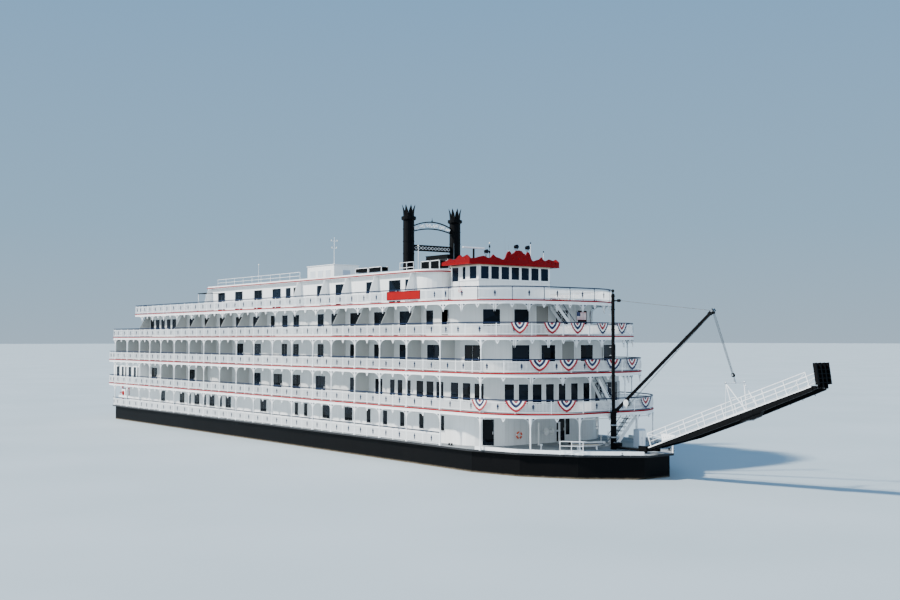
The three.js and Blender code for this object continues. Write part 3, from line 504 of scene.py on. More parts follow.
@dataclass(frozen=True)
class Moulded(Finish):
    """Moulded plastic, gelcoat or lamp glass: an even colour with a fine pebble and a little dust.

    Attributes:
        colour: sRGB hex of the material.
        dust: sRGB hex of the dust on it.
        dust_mm: size of the dusty patches.
        pebble_mm: spacing of the pebble, drawn coarser than real so that it shows.
        roughness: typical value for the moulding.
    """

    colour: str = "e05a28"
    dust: str = "b8a99a"
    dust_mm: float = 33.3333
    pebble_mm: float = 1.66667
    roughness: float = 0.45

    def paint(self, coat: Coat) -> None:
        """Mixes dust into the colour and raises the pebble.

        Args:
            coat: the coat of its material.
        """
        cover = add_node(
            coat.tree, "ShaderNodeTexNoise",
            {"Vector": coat.place, "Scale": per_mm(self.dust_mm), "Detail": 4.0})
        coat.patch(cover.outputs["Fac"], [(0.45, 0.0), (0.75, 0.35)], self.colour, self.dust)
        pebble = add_node(
            coat.tree, "ShaderNodeTexNoise", {"Vector": coat.place, "Scale": per_mm(self.pebble_mm)})
        coat.lift(pebble.outputs["Fac"], 0.2, 0.2)
        coat.put(Roughness=self.roughness)


@dataclass(frozen=True)
class Plaster(Finish):
    """Pale studio floor: smooth plaster with a barely visible mottle.

    Attributes:
        colour: sRGB hex of its darker patches.
        pale: sRGB hex of its paler patches.
        patch_mm: size of the patches.
    """

    colour: str = "aab6ba"
    pale: str = "b3bfc3"
    patch_mm: float = 1666.67

    def paint(self, coat: Coat) -> None:
        """Mottles the plaster slightly.

        Args:
            coat: the coat of its material.
        """
        mottle = add_node(
            coat.tree, "ShaderNodeTexNoise",
            {"Vector": coat.place, "Scale": per_mm(self.patch_mm), "Detail": 3.0})
        tone = add_node(coat.tree, "ShaderNodeValToRGB", {"Fac": mottle.outputs["Fac"]},
                        [(0.3, linear(self.colour)), (0.7, linear(self.pale))])
        coat.tree.links.new(tone.outputs["Color"], coat.shader.inputs["Base Color"])
        coat.put(Roughness=0.7)


# Paints on the boat. The reds, black, navy and glass reflect little, so that they keep their depth in the
# broad studio light as they do in the photograph's sunlight.
WHITE = Enamel("white_enamel")
WALLS = PanelledEnamel("white_panel_enamel", colour="eff0ee", stain="a9a69c", dirt=0.22)
# Painted shade: the walls and balcony screens under the galleries are painted a darker grey, which stands in
# for the deep shade of the covered decks.
SHADED_GALLERY_WALLS = PanelledEnamel("gallery_panel_enamel", colour="d2d3d0", stain="94928a", dirt=0.25)
SHADED_SCREENS = Enamel("balcony_screen_enamel", colour="a9aaa6", stain="85837b")
# Painted shade: the flat grey panel that stands for the shaded inside of an open passage.
SHADED = Enamel("shaded_grey_enamel", colour="8d8b84", stain="6c6a62", roughness=0.5)
RED = Enamel("red_enamel", colour="900106", stain="4a0606", roughness=0.5, dirt=0.2, sheen=0.12)
DEEP_RED = Enamel("deep_red_enamel", colour="720007", stain="3a0406", roughness=0.5, dirt=0.2, sheen=0.12)
BLACK = Enamel("black_enamel", colour="020203", stain="080707", roughness=0.5, dirt=0.2, sheen=0.1)
NAVY = Enamel("navy_enamel", colour="0a1c38", stain="1c2c44", roughness=0.42, sheen=0.2)
PALE = Enamel("pale_blue_enamel", colour="aebac6", stain="8f9aa4", roughness=0.45)
TAN = Enamel("tan_enamel", colour="c9b89a", stain="9a8a70", roughness=0.45)
HULL = HullPaint("black_hull_enamel", colour="020203", stain="0d0c0a", roughness=0.5, dirt=0.3,
                 streak_mm=60.0, sheen=0.08)
GREY_DECK = DeckPaint("grey_deck_paint")
GUARD = GuardedDeck("guarded_deck_paint")
GLASS = TintedGlass("tinted_glass")
BRIDGE_GLASS = TintedGlass("pilothouse_glass", colour="08111c", other="0e1f31", pane_mm=300.0)
STEEL = BareMetal("galvanised_steel")
WIRE = BareMetal("wire_rope", colour="6d7072", dull="3d3f41", roughness=0.5)
BRONZE = BareMetal("bronze", colour="b98d4f", dull="6d5536", roughness=0.3)
RED_COTTON = Cotton("red_cotton", colour="8c0a18", faded="9c2430")
WHITE_COTTON = Cotton("white_cotton")
BLUE_COTTON = Cotton("blue_cotton", colour="0c1638", faded="1c2a54")
ORANGE_PLASTIC = Moulded("orange_float_plastic")
GREY_PLASTIC = Moulded("grey_gelcoat", colour="c9ccca", dust="9b9a94", roughness=0.3)
OPAL = Moulded("opal_lamp_glass", colour="f7f3e4", dust="d8d2c0", roughness=0.2)


class Plane(Enum):
    """Plane that an outline is drawn in. Its value gives the axes of the outline and of the extrusion."""

    SIDE = (0, 2, 1)
    END = (1, 2, 0)
    PLAN = (0, 1, 2)


def pose(x: float, y: float, z: float, angle: float = 0.0, axis: str = "Z") -> Matrix:
    """Local frame at a place, turned about one axis.

    Args:
        x: place along the boat.
        y: place across it.
        z: height.
        angle: turn, in radians.
        axis: axis of the turn.

    Returns:
        The frame's matrix.
    """
    return Matrix.Translation((x, y, z)) @ Matrix.Rotation(angle, 4, axis)


def rectangle(x: Point2, z: Point2, grow: float = 0.0) -> list[Point2]:
    """Outline of a rectangle.

    Args:
        x: its two ends.
        z: its foot and its head.
        grow: margin that is added all round.

    Returns:
        Its corners.
    """
    (x0, x1), (z0, z1) = (x[0] - grow, x[1] + grow), (z[0] - grow, z[1] + grow)
    return [(x0, z0), (x1, z0), (x1, z1), (x0, z1)]


def spiral(centre: Point2, radius: float, turns: float, start: float = 0.0, hand: int = 1) -> list[Point2]:
    """Points of a scroll that winds in from its outer end.

    Args:
        centre: middle of the scroll.
        radius: its outer radius.
        turns: number of turns.
        start: angle of the outer end, in degrees.
        hand: 1 to wind anticlockwise, -1 for its mirror image.

    Returns:
        The points, from the outside in.
    """
    steps, inner = 14, 0.2
    points = []
    for i in range(steps + 1):
        share = i / steps
        angle = math.radians(start if hand > 0 else 180 - start) + hand * share * turns * math.tau
        reach = radius * (1 - (1 - inner) * share)
        points.append((centre[0] + reach * math.cos(angle), centre[1] + reach * math.sin(angle)))
    return points


class Form:
    """Closed solids in millimetres that become one mesh object."""

    def __init__(self, *finishes: Finish) -> None:
        """Starts an empty form.

        Args:
            *finishes: the finishes that its solids name by number.
        """
        self.finishes = finishes
        self.points: list[Point3] = []
        self.faces: list[tuple[int, ...]] = []
        self.marks: list[int] = []
        self.spot = Matrix.Identity(4)

    @contextmanager
    def at(self, spot: Matrix) -> Iterator[None]:
        """Places what is added inside the block.

        Args:
            spot: its local frame, inside that of any outer block.

        Returns:
            A context manager.
        """
        outer = self.spot
        self.spot = outer @ spot
        yield
        self.spot = outer

    def add(self, points: Sequence[Point3], faces: Sequence[Sequence[int]],
            finish: int | Sequence[int] = 0) -> None:
        """Adds raw points and faces.

        Args:
            points: corners in millimetres.
            faces: corner numbers of each face.
            finish: finish number of all the faces, or one for each.
        """
        base = len(self.points)
        self.points.extend(tuple(self.spot @ Vector(p)) for p in points)
        self.faces.extend(tuple(base + i for i in face) for face in faces)
        self.marks.extend([finish] * len(faces) if isinstance(finish, int) else finish)

    def box(self, low: Point3, high: Point3, finish: int = 0) -> None:
        """Adds a box.

        Args:
            low: one corner.
            high: the corner opposite to it.
            finish: finish number.
        """
        (x0, x1), (y0, y1), (z0, z1) = (sorted(pair) for pair in zip(low, high))
        points = [(x0, y0, z0), (x1, y0, z0), (x1, y1, z0), (x0, y1, z0),
                  (x0, y0, z1), (x1, y0, z1), (x1, y1, z1), (x0, y1, z1)]
        faces = [(0, 3, 2, 1), (4, 5, 6, 7), (0, 1, 5, 4), (1, 2, 6, 5), (2, 3, 7, 6), (3, 0, 4, 7)]
        self.add(points, faces, finish)

    def side_box(self, side: Side, x: Point2, y: Point2, z: Point2, finish: int = 0) -> None:
        """Adds a box on one side, with the distances of its two faces from the middle line as its Y."""
        self.box((x[0], side * y[0], z[0]), (x[1], side * y[1], z[1]), finish)

    def prism(self, outline: Sequence[Point2], plane: Plane, start: float, end: float, finish: int = 0,
              holes: Sequence[Sequence[Point2]] = ()) -> None:
        """Adds an outline carried from start to end, square to its plane.

        Args:
            outline: corners of the outline.
            plane: plane that it is drawn in.
            start: first place along the third axis.
            end: last place along it.
            finish: finish number.
            holes: outlines that are cut through.
        """
        u, v, w = plane.value
        loops = [outline, *holes]
        points: list[Point3] = []
        for level in sorted((start, end)):
            for a, b in (p for loop in loops for p in loop):
                corner = [0.0, 0.0, 0.0]
                corner[u], corner[v], corner[w] = a, b, level
                points.append((corner[0], corner[1], corner[2]))
        count = len(points) // 2
        faces: list[tuple[int, ...]] = []
        base = 0
        for loop in loops:
            size = len(loop)
            for i in range(size):
                j = (i + 1) % size
                faces.append((base + i, base + j, base + j + count, base + i + count))
            base += size
        ends = [tuple(range(count))]
        if holes:
            ends = tessellate_polygon([[Vector((a, b, 0)) for a, b in loop] for loop in loops])
        for face in ends:
            faces.append(tuple(face))
            faces.append(tuple(i + count for i in reversed(face)))
        self.add(points, faces, finish)

    def skin(self, rings: Sequence[Sequence[Point3]], finish: int = 0, closed: bool = False) -> None:
        """Adds a solid through rings that all have the same number of points.

        Args:
            rings: the rings, in order.
            finish: finish number.
            closed: whether the last ring joins the first. If not, the two end rings are filled in.
        """
        size, count = len(rings[0]), len(rings)
        faces: list[tuple[int, ...]] = []
        for i in range(count if closed else count - 1):
            for k in range(size):
                j, m = (i + 1) % count, (k + 1) % size
                faces.append((i * size + k, i * size + m, j * size + m, j * size + k))
        if not closed:
            faces.append(tuple(reversed(range(size))))
            faces.append(tuple(range((count - 1) * size, count * size)))
        self.add([p for ring in rings for p in ring], faces, finish)

    def tube(self, path: Sequence[Point3], radius: float, finish: int = 0, sides: int = 6,
             end_radius: float | None = None) -> None:
        """Adds a round bar along a path, with flat ends.

        Args:
            path: points along its middle.
            radius: its radius at the start.
            finish: finish number.
            sides: facets round.
            end_radius: its radius at the end, if it tapers.
        """
        last = radius if end_radius is None else end_radius
        spots = [Vector(p) for p in path]
        rings = []
        side = None
        for i, spot in enumerate(spots):
            ahead = (spots[min(i + 1, len(spots) - 1)] - spots[max(i - 1, 0)]).normalized()
            if side is None:
                side = ahead.orthogonal().normalized()
            side = (side - ahead * side.dot(ahead)).normalized()
            up = ahead.cross(side)
            here = radius + (last - radius) * i / (len(spots) - 1)
            angles = (math.tau * (k + 0.5) / sides for k in range(sides))
            rings.append([tuple(spot + here * (math.cos(a) * side + math.sin(a) * up)) for a in angles])
        self.skin(rings, finish)

    def turned(self, profile: Sequence[Point2], centre: Point3, finish: int = 0, sides: int = 16,
               axis: str = "Z") -> None:
        """Adds a turned solid.

        Args:
            profile: radius and height of each ring, from one end to the other.
            centre: place of height nought.
            finish: finish number.
            sides: facets round.
            axis: axis that it is turned about.
        """
        tilt = {"Z": (0.0, "X"), "X": (math.pi / 2, "Y"), "Y": (-math.pi / 2, "X")}[axis]
        angles = [math.tau * k / sides for k in range(sides)]
        with self.at(pose(*centre, *tilt)):
            self.skin([[(r * math.cos(a), r * math.sin(a), z) for a in angles] for r, z in profile], finish)

    def cloth(self, rows: Sequence[Sequence[Point3]], back: Point3, cells: Sequence[Sequence[int]],
              hem: int) -> None:
        """Adds a thin closed sheet.

        Args:
            rows: rows of points over its front, each with the same number.
            back: step from its front to its back.
            cells: finish number of each cell between the points, by row.
            hem: finish number of its edges.
        """
        wide, deep = len(rows[0]), len(rows)
        front = [p for row in rows for p in row]
        sheet = len(front)
        faces: list[tuple[int, ...]] = []
        marks: list[int] = []
        for i in range(deep - 1):
            for k in range(wide - 1):
                a = i * wide + k
                b, c, d = a + 1, a + wide + 1, a + wide
                faces += [(a, b, c, d), (a + sheet, d + sheet, c + sheet, b + sheet)]
                marks += [cells[i][k]] * 2
        rim = [*range(wide), *(i * wide + wide - 1 for i in range(1, deep)),
               *range(sheet - 2, sheet - wide - 1, -1), *(i * wide for i in range(deep - 2, 0, -1))]
        for a, b in zip(rim, [*rim[1:], rim[0]]):
            faces.append((a, a + sheet, b + sheet, b))
            marks.append(hem)
        behind = [(x + back[0], y + back[1], z + back[2]) for x, y, z in front]
        self.add([*front, *behind], faces, marks)

    def place(self, name: str, body: str | None, slot: str, replaces: Sequence[str] = (),
              sharp: float = 35.0) -> bpy.types.Object:
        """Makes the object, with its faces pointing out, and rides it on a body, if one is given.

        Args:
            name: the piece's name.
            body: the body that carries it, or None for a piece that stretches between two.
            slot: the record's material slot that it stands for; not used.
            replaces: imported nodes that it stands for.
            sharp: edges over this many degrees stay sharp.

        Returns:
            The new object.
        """
        mesh = bpy.data.meshes.new(name)
        mesh.from_pydata([(x * METRE, y * METRE, z * METRE) for x, y, z in self.points], [], self.faces)
        for finish in self.finishes:
            mesh.materials.append(finish.material())
        mesh.polygons.foreach_set("material_index", self.marks)
        work = bmesh.new()
        work.from_mesh(mesh)
        bmesh.ops.recalc_face_normals(work, faces=work.faces)
        work.to_mesh(mesh)
        work.free()
        mesh.polygons.foreach_set("use_smooth", [True] * len(mesh.polygons))
        mesh.set_sharp_from_angle(angle=math.radians(sharp))
        piece = bpy.data.objects.new(name, mesh)
        bpy.context.scene.collection.objects.link(piece)
        if body:
            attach(piece, body)
        if replaces:
            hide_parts(*replaces)
        LOG.info("%s: %d faces on %s", name, len(mesh.polygons), body)
        return piece


def dress(finish: Finish, *nodes: str) -> None:
    """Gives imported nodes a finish.

    Args:
        finish: the finish.
        *nodes: the nodes' names.
    """
    for name in nodes:
        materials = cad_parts[name].data.materials
        materials.clear()
        materials.append(finish.material())


@dataclass(frozen=True)
class DeckEdge:
    """Plan outline of a deck or a deckhouse: square aft and rounded at its two forward corners, in mm.

    Attributes:
        stern: aft end.
        front: forward end on the centreline.
        half: half breadth.
        corner: radius of the forward corners.
    """

    stern: float
    front: float
    half: float
    corner: float = 600.0

    @property
    def flat(self) -> float:
        """Half breadth of the straight part of the front."""
        return self.half - self.corner

    @property
    def bend(self) -> float:
        """Length round one forward corner at the edge."""
        return self.corner * math.pi / 2

    def spot(self, along: float, inset: float = 0.0) -> Point3:
        """Place on the edge.

        Args:
            along: distance from the middle of the front, to port if positive.
            inset: distance in from the edge.

        Returns:
            X, Y, and the angle of the outward direction.
        """
        side = Side.STARBOARD if along < 0 else Side.PORT
        run = abs(along)
        if run <= self.flat:
            return (self.front - inset, along, 0.0)
        if run <= self.flat + self.bend:
            angle = (run - self.flat) / self.corner
            reach = self.corner - inset
            return (self.front - self.corner + reach * math.cos(angle),
                    side * (self.flat + reach * math.sin(angle)), side * angle)
        x = self.front - self.corner - (run - self.flat - self.bend)
        return (x, side * (self.half - inset), side * math.pi / 2)

    def at_length(self, x: float) -> float:
        """Distance along the port edge to a place X on the straight side."""
        return self.flat + self.bend + self.front - self.corner - x

    def curved(self, start: float, end: float) -> bool:
        """Whether any of the stretch between two distances lies on a forward corner."""
        return max(abs(start), abs(end)) > self.flat and min(abs(start), abs(end)) < self.flat + self.bend

    def matrix(self, along: float, inset: float = 0.0, height: float = 0.0) -> Matrix:
        """Local frame on the edge: x runs to port along it, y points in and z up."""
        x, y, angle = self.spot(along, inset)
        return pose(x, y, height, angle + math.pi / 2)

    def aft_wall(self, y: float, floor: float) -> Matrix:
        """Local frame on the square aft end, with x along it and -y pointing out."""
        return pose(self.stern, y, floor, -math.pi / 2)

    def ring(self, inset: float, height: float) -> list[Point3]:
        """Closed plan outline.

        Args:
            inset: distance in from the edge.
            height: height of all its points.

        Returns:
            Its corners.
        """
        steps, aft = 20, self.stern + inset
        points = [(aft, -self.half + inset, height)]
        for i in range(-steps, steps + 1):
            share = i / steps
            run = math.copysign(self.flat + abs(share) * self.bend, share) if i else 0.0
            points.append((*self.spot(run, inset)[:2], height))
        points.append((aft, self.half - inset, height))
        return points

    def slab(self, form: Form, inset: float, low: float, high: float, finish: int) -> None:
        """Adds a flat plate with this outline, inset from the edge, between two heights."""
        form.prism([(x, y) for x, y, _ in self.ring(inset, low)], Plane.PLAN, low, high, finish)


COLUMN_X = (-4178, -3788, -3406, -3096, -2778, -2406, -2017, -1644, -1266, -886,
            -512, -131, 248, 630, 949, 1332, 1713, 2101, 2549, 3060)
FRONT_SPLIT = 2557.6
MAIN_DECK = 385.0
DECK_PLATE = 12.0


@dataclass(frozen=True)
class Deck:
    """One upper deck.

    Attributes:
        name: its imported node.
        top: height of its walking surface.
        edge: its plan outline.
        level: number of the gallery that stands on it.
    """

    name: str
    top: float
    edge: DeckEdge
    level: int


DECKS = (
    Deck("deck_2", 660.0, DeckEdge(-4374, 3550, 840), 2),
    Deck("deck_3", 952.0, DeckEdge(-4374, 3425, 840), 3),
    Deck("deck_4", 1227.0, DeckEdge(-4240, 3340, 840), 4),
    Deck("deck_5", 1502.0, DeckEdge(-3620, 3130, 810), 5),
)
ROOF = Deck("texas_roof", 1766.0, DeckEdge(-2076, 2095, 600, 200), 6)
FRONT_POSTS = (0.0, 268.0, 536.0, 804.0, 1072.0)


@dataclass(frozen=True)
class Front:
    """What stands and hangs along the rounded front under one deck, as distances along its edge.

    Attributes:
        columns: columns with their two brackets.
        brackets: pairs of brackets without a column.
        drops: pointed drops.
    """

    columns: tuple[float, ...] = ()
    brackets: tuple[float, ...] = ()
    drops: tuple[float, ...] = ()


FRONTS = {
    1: Front((-1098, -690, -304, 304, 690, 1098), drops=(-894, -493, 0, 493, 894)),
    2: Front((-995, -75, 302, 995), (-598, -348, 348, 598), (-808, 113, 808)),
    3: Front((-927, 927), (-665, -402, -134, 134, 402, 665), (-796, -533, -268, 0, 268, 533, 796)),
    4: Front((), (-942, -672, -405, -136, 136, 405, 672, 942), (-807, -538, -270, 0, 270, 538, 807)),
}


@dataclass
class Decks:
    """Deck plates: grey paint on top, a white edge board and a red half-round nosing.

    Attributes:
        nosing: height of the red nosing.
        bulge: how far the nosing stands out.
        lap: how far the nosing lies in over the plate.
        curb: inset and rise of each corner of the moulding round the roof.
        board: inset and drop of each corner of the moulded board under the top deck.
    """

    nosing: float = 11.0
    bulge: float = 4.0
    lap: float = 5.0
    curb: tuple[Point2, ...] = ((9.0, 0.0), (9.0, 13.0), (11.0, 14.5), (17.0, 14.5), (19.0, 13.0),
                                (19.0, 0.0))
    board: tuple[Point2, ...] = ((4.0, 0.0), (4.0, 5.0), (6.5, 7.0), (6.5, 15.0), (4.5, 17.0), (4.5, 20.0),
                                 (14.0, 20.0), (14.0, 0.0))

    def build(self) -> None:
        """Makes each deck and the roof, and paints the hull, the main deck and the bulwarks."""
        for deck in (*DECKS, ROOF):
            self.build_one(deck)
        dress(GUARD, "main_deck")
        dress(WHITE, "starboard_bulwark", "port_bulwark")
        dress(HULL, "hull")

    def build_one(self, deck: Deck) -> None:
        """Makes one deck: plate, nosing and, where it has them, edge board and curb.

        Args:
            deck: the deck.
        """
        form = Form(WHITE, GREY_DECK, RED)
        edge, low = deck.edge, deck.top - DECK_PLATE
        edge.slab(form, self.bulge, low, deck.top - 1, 0)
        edge.slab(form, self.bulge + 6, deck.top - 1.5, deck.top, 1)
        crest = deck.top + 0.5
        rings = [edge.ring(self.bulge * (1 - math.sin(math.pi * share)), crest - self.nosing * (1 - share))
                 for share in (0.0, 0.2, 0.5, 0.8, 1.0)]
        inner = self.bulge + self.lap
        form.skin([*rings, edge.ring(inner, crest), edge.ring(inner, deck.top - self.nosing)], 2, closed=True)
        if deck is DECKS[-1]:
            form.skin([edge.ring(inset, low - 0.2 - drop) for inset, drop in self.board], 0, closed=True)
        if deck is ROOF:
            form.skin([edge.ring(inset, deck.top - 0.5 + rise) for inset, rise in self.curb], 0, closed=True)
        form.place(f"{deck.name}_plating", "boat", "white_paint", [deck.name])


@dataclass
class Railing:
    """Deck railing: white pickets between bars, posts, a navy handrail and a navy ornament in each panel.

    Every method takes a form with white as finish 0 and navy as finish 1.

    Attributes:
        handrail: height of the handrail's middle.
        head: height of the top bar over the deck.
        foot: height of the bottom bar over the deck.
        bar: height of a bar, and half its breadth.
        grip: how far the handrail reaches under and over its middle, and half its breadth.
        pitch: spacing of the pickets.
        picket: half breadth and half depth of a picket.
        lap: how far a picket runs into each bar.
        post: breadth of a post.
        piece: length of the straight pieces that a bar is made of round a corner.
        ornament: height of the cast ornament.
    """

    handrail: float = 100.0
    head: float = 84.0
    foot: float = 11.0
    bar: Point2 = (4.0, 2.4)
    grip: Point3 = (6.0, 2.5, 4.0)
    pitch: float = 10.0
    picket: Point2 = (1.2, 2.0)
    lap: float = 0.5
    post: float = 5.0
    piece: float = 60.0
    ornament: float = 50.0

    FLEUR = ((0.0, -0.5), (0.07, -0.4), (0.05, -0.24), (0.17, -0.2), (0.17, -0.12), (0.06, -0.1),
             (0.15, 0.02), (0.21, 0.16), (0.15, 0.2), (0.09, 0.08), (0.12, 0.28), (0.0, 0.5))

    def add_post(self, form: Form, edge: DeckEdge, along: float, floor: float, inset: float,
                 finish: int) -> None:
        """Adds one post with a foot plate.

        Args:
            form: the form that takes it.
            edge: the deck's outline.
            along: its place along the edge.
            floor: height of the deck.
            inset: distance in from the edge.
            finish: finish number.
        """
        with form.at(edge.matrix(along, inset, floor)):
            for half, top in ((self.post / 2, self.handrail), (self.post / 2 + 1, 3.0)):
                form.box((-half, -half, 0.3), (half, half, top), finish)

    def add_bar(self, form: Form, edge: DeckEdge, stops: Sequence[float], inset: float, z: Point2,
                half: float, finish: int) -> None:
        """Adds a bar that follows the edge through the given places.

        Args:
            form: the form that takes it.
            edge: the deck's outline.
            stops: the places along the edge.
            inset: distance of its middle in from the edge.
            z: heights of its underside and its top.
            half: half its breadth.
            finish: finish number.
        """
        sections = []
        for along in stops:
            x, y, angle = edge.spot(along, inset)
            dx, dy = half * math.cos(angle), half * math.sin(angle)
            sections.append([(x - dx, y - dy, z[0]), (x + dx, y + dy, z[0]),
                             (x + dx, y + dy, z[1]), (x - dx, y - dy, z[1])])
        form.skin(sections, finish)

    def add_panel(self, form: Form, edge: DeckEdge, start: float, end: float, floor: float,
                  inset: float) -> None:
        """Adds the bars, pickets and ornament between two posts.

        Args:
            form: the form that takes them.
            edge: the deck's outline.
            start: first post's place along the edge.
            end: last post's place.
            floor: height of the deck.
            inset: distance in from the edge.
        """
        pieces = max(1, round((end - start) / self.piece)) if edge.curved(start, end) else 1
        stops = [start + (end - start) * i / pieces for i in range(pieces + 1)]
        high, half = self.bar
        for low in (self.head - high, self.foot):
            self.add_bar(form, edge, stops, inset, (floor + low, floor + low + high), half, 0)
        under, over, half = self.grip
        rail = floor + self.handrail
        self.add_bar(form, edge, stops, inset, (rail - under, rail + over), half, 1)
        count = max(1, int((end - start - self.post) / self.pitch))
        breadth, depth = self.picket
        low, top = self.foot + high - self.lap, self.head - high + self.lap
        for i in range(count):
            along = start + (i + 0.5) / count * (end - start)
            with form.at(edge.matrix(along, inset, floor)):
                form.box((-breadth, -depth, low), (breadth, depth, top), 0)
        right = [(x * self.ornament, z * self.ornament) for x, z in self.FLEUR]
        fleur = right + [(-x, z) for x, z in reversed(right[1:-1])]
        with form.at(edge.matrix((start + end) / 2, inset - 2.6, floor + (self.head + self.foot) / 2)):
            form.prism(fleur, Plane.SIDE, -1.2, 1.6, 1)

    def add_run(self, form: Form, edge: DeckEdge, stops: Sequence[float], posts: Sequence[float],
                floor: float, inset: float, finish: int = 0) -> None:
        """Adds a panel between each two stops, and a row of posts.

        Args:
            form: the form that takes them.
            edge: the deck's outline.
            stops: places along the edge, in order.
            posts: those of them that have a post.
            floor: height of the deck.
            inset: distance in from the edge.
            finish: finish number of the posts.
        """
        for start, end in zip(stops, stops[1:]):
            self.add_panel(form, edge, start, end, floor, inset)
        for stop in posts:
            self.add_post(form, edge, stop, floor, inset, finish)


@dataclass
class Galleries:
    """Columns, arched brackets, edge boards and railings round every deck.

    Attributes:
        railing: the railing that all the decks share.
        column: radius of a column.
        inset: distance of the columns' middle from the deck's edge.
        clear: how far the edge board's head lies under the deck's surface.
        board: depth of the edge board.
        base: half breadth of a column's square base.
        reach: reach of a side bracket along the board.
        front_reach: reach of a front bracket.
        drop: a bracket's drop down the column.
        rim: breadth of a bracket's curved rim.
        pendant: half width and drop of the pointed drop at mid-bay.
        thick: half thickness of brackets and drops.
        relief: how far their navy diamonds stand out.
        aft: how far the aft end post stands in from the stern.
        first: X of the aft end post on the main deck.
    """

    railing: Railing = field(default_factory=Railing)
    column: float = 5.6
    inset: float = 10.0
    clear: float = 12.2
    board: float = 20.0
    base: float = 8.0
    reach: float = 92.0
    front_reach: float = 58.0
    drop: float = 58.0
    rim: float = 6.5
    pendant: Point2 = (16.0, 30.0)
    thick: float = 3.5
    relief: float = 0.8
    aft: float = 12.0
    first: float = -4224.0

    def build(self) -> None:
        """Makes the galleries of all five levels."""
        second = DECKS[0]
        for side in Side:
            self.build_side(side, 1, second.edge, MAIN_DECK, self.first, second)
        self.build_front_arcade(1, MAIN_DECK, second)
        for deck, above in zip(DECKS, (DECKS[1], DECKS[2], None, None)):
            for side in Side:
                start = deck.edge.stern + self.aft
                self.build_side(side, deck.level, deck.edge, deck.top, start, above)
            self.build_front_rail(deck)
            if above:
                self.build_front_arcade(deck.level, deck.top, above)
            self.build_stern(deck)
        self.build_eaves(DECKS[-1])

    def build_side(self, side: Side, level: int, edge: DeckEdge, floor: float, start: float,
                   above: Deck | None) -> None:
        """Makes one straight side gallery.

        Args:
            side: side of the boat.
            level: the gallery's number.
            edge: outline that the railing follows.
            floor: height of the deck that it stands on.
            start: X of the aft end post.
            above: the deck that its columns carry, if it has columns.
        """
        form = Form(WHITE, NAVY)
        places = [x for x in COLUMN_X if edge.stern + 40 < x < FRONT_SPLIT]
        halves = [start]
        for x in places:
            last = halves[-1]
            halves += [(last + x) / 2, x] if x - last > 120 else [x]
        stops = sorted(side * edge.at_length(x) for x in halves)
        self.railing.add_run(form, edge, stops, stops, floor, self.inset)
        if above:
            self.add_arcade(form, above.edge, side, places, floor, above.top)
        node = f"{side.label}_gallery_{level}"
        form.place(f"{node}_joinery", "boat", "white_paint", [node])

    def add_arcade(self, form: Form, edge: DeckEdge, side: Side, places: Sequence[float], floor: float,
                   over: float) -> None:
        """Adds columns, the edge board over them, corner brackets and drops along one side.

        Args:
            form: takes white as finish 0 and navy as finish 1.
            edge: outline of the deck overhead.
            side: side of the boat.
            places: X of the columns.
            floor: height of the deck that they stand on.
            over: height of the deck overhead.
        """
        head = over - self.clear
        board = head - self.board
        y = side * (edge.half - self.inset)
        end = max(places) + self.base
        moulding = ((-5, 0), (5, 0), (5, 5), (3, 7), (3, 14), (5, 16), (5, self.board), (-5, self.board))
        section = [(y + side * out, head - fall) for out, fall in moulding]
        form.prism(section, Plane.END, edge.stern + 5, end, 0)
        for x in places:
            self.add_column(form, x, y, floor, board)
        self.hang(form, places, y, board, 0.0, end + 40)

    def hang(self, form: Form, places: Sequence[float], y: float, board: float, gap: float,
             limit: float) -> None:
        """Adds a pair of brackets at each place along a side, and a drop halfway between each two.

        Args:
            form: takes white as finish 0 and navy as finish 1.
            places: X of the pairs.
            y: their middle.
            board: height of the edge board's foot.
            gap: how far the two brackets of a pair lap over each other.
            limit: X that no bracket reaches.
        """
        for x in places:
            for way in (-1, 1):
                if x + way * self.reach < limit:
                    with form.at(pose(x - way * gap, y, 0) @ Matrix.Diagonal((way, 1, 1, 1))):
                        self.add_bracket(form, board, self.reach)
        for a, b in zip(places, places[1:]):
            with form.at(pose((a + b) / 2, y, 0)):
                self.add_pendant(form, board)

    def add_column(self, form: Form, x: float, y: float, floor: float, top: float) -> None:
        """Adds a turned column with a square base, collars at rail height and under the brackets, and a cap.

        Args:
            form: the form that takes it.
            x: its place along the boat.
            y: its place across it.
            floor: height of its foot.
            top: height of its head.
        """
        r, b, tall = self.column, self.base, top - floor
        form.box((x - b, y - b, floor + 0.3), (x + b, y + b, floor + 14))
        profile = [(r + 1.5, 13), (r + 1.5, 17), (r, 20), (r, 98), (r + 1.6, 100), (r + 1.6, 104), (r, 106),
                   (r - 0.8, tall - 66), (r + 1.6, tall - 64), (r + 1.6, tall - 60), (r - 0.4, tall - 58),
                   (r + 1.4, tall - 6)]
        form.turned(profile, (x, y, floor), 0, 10)
        form.box((x - b, y - b, top - b), (x + b, y + b, top + 0.5))

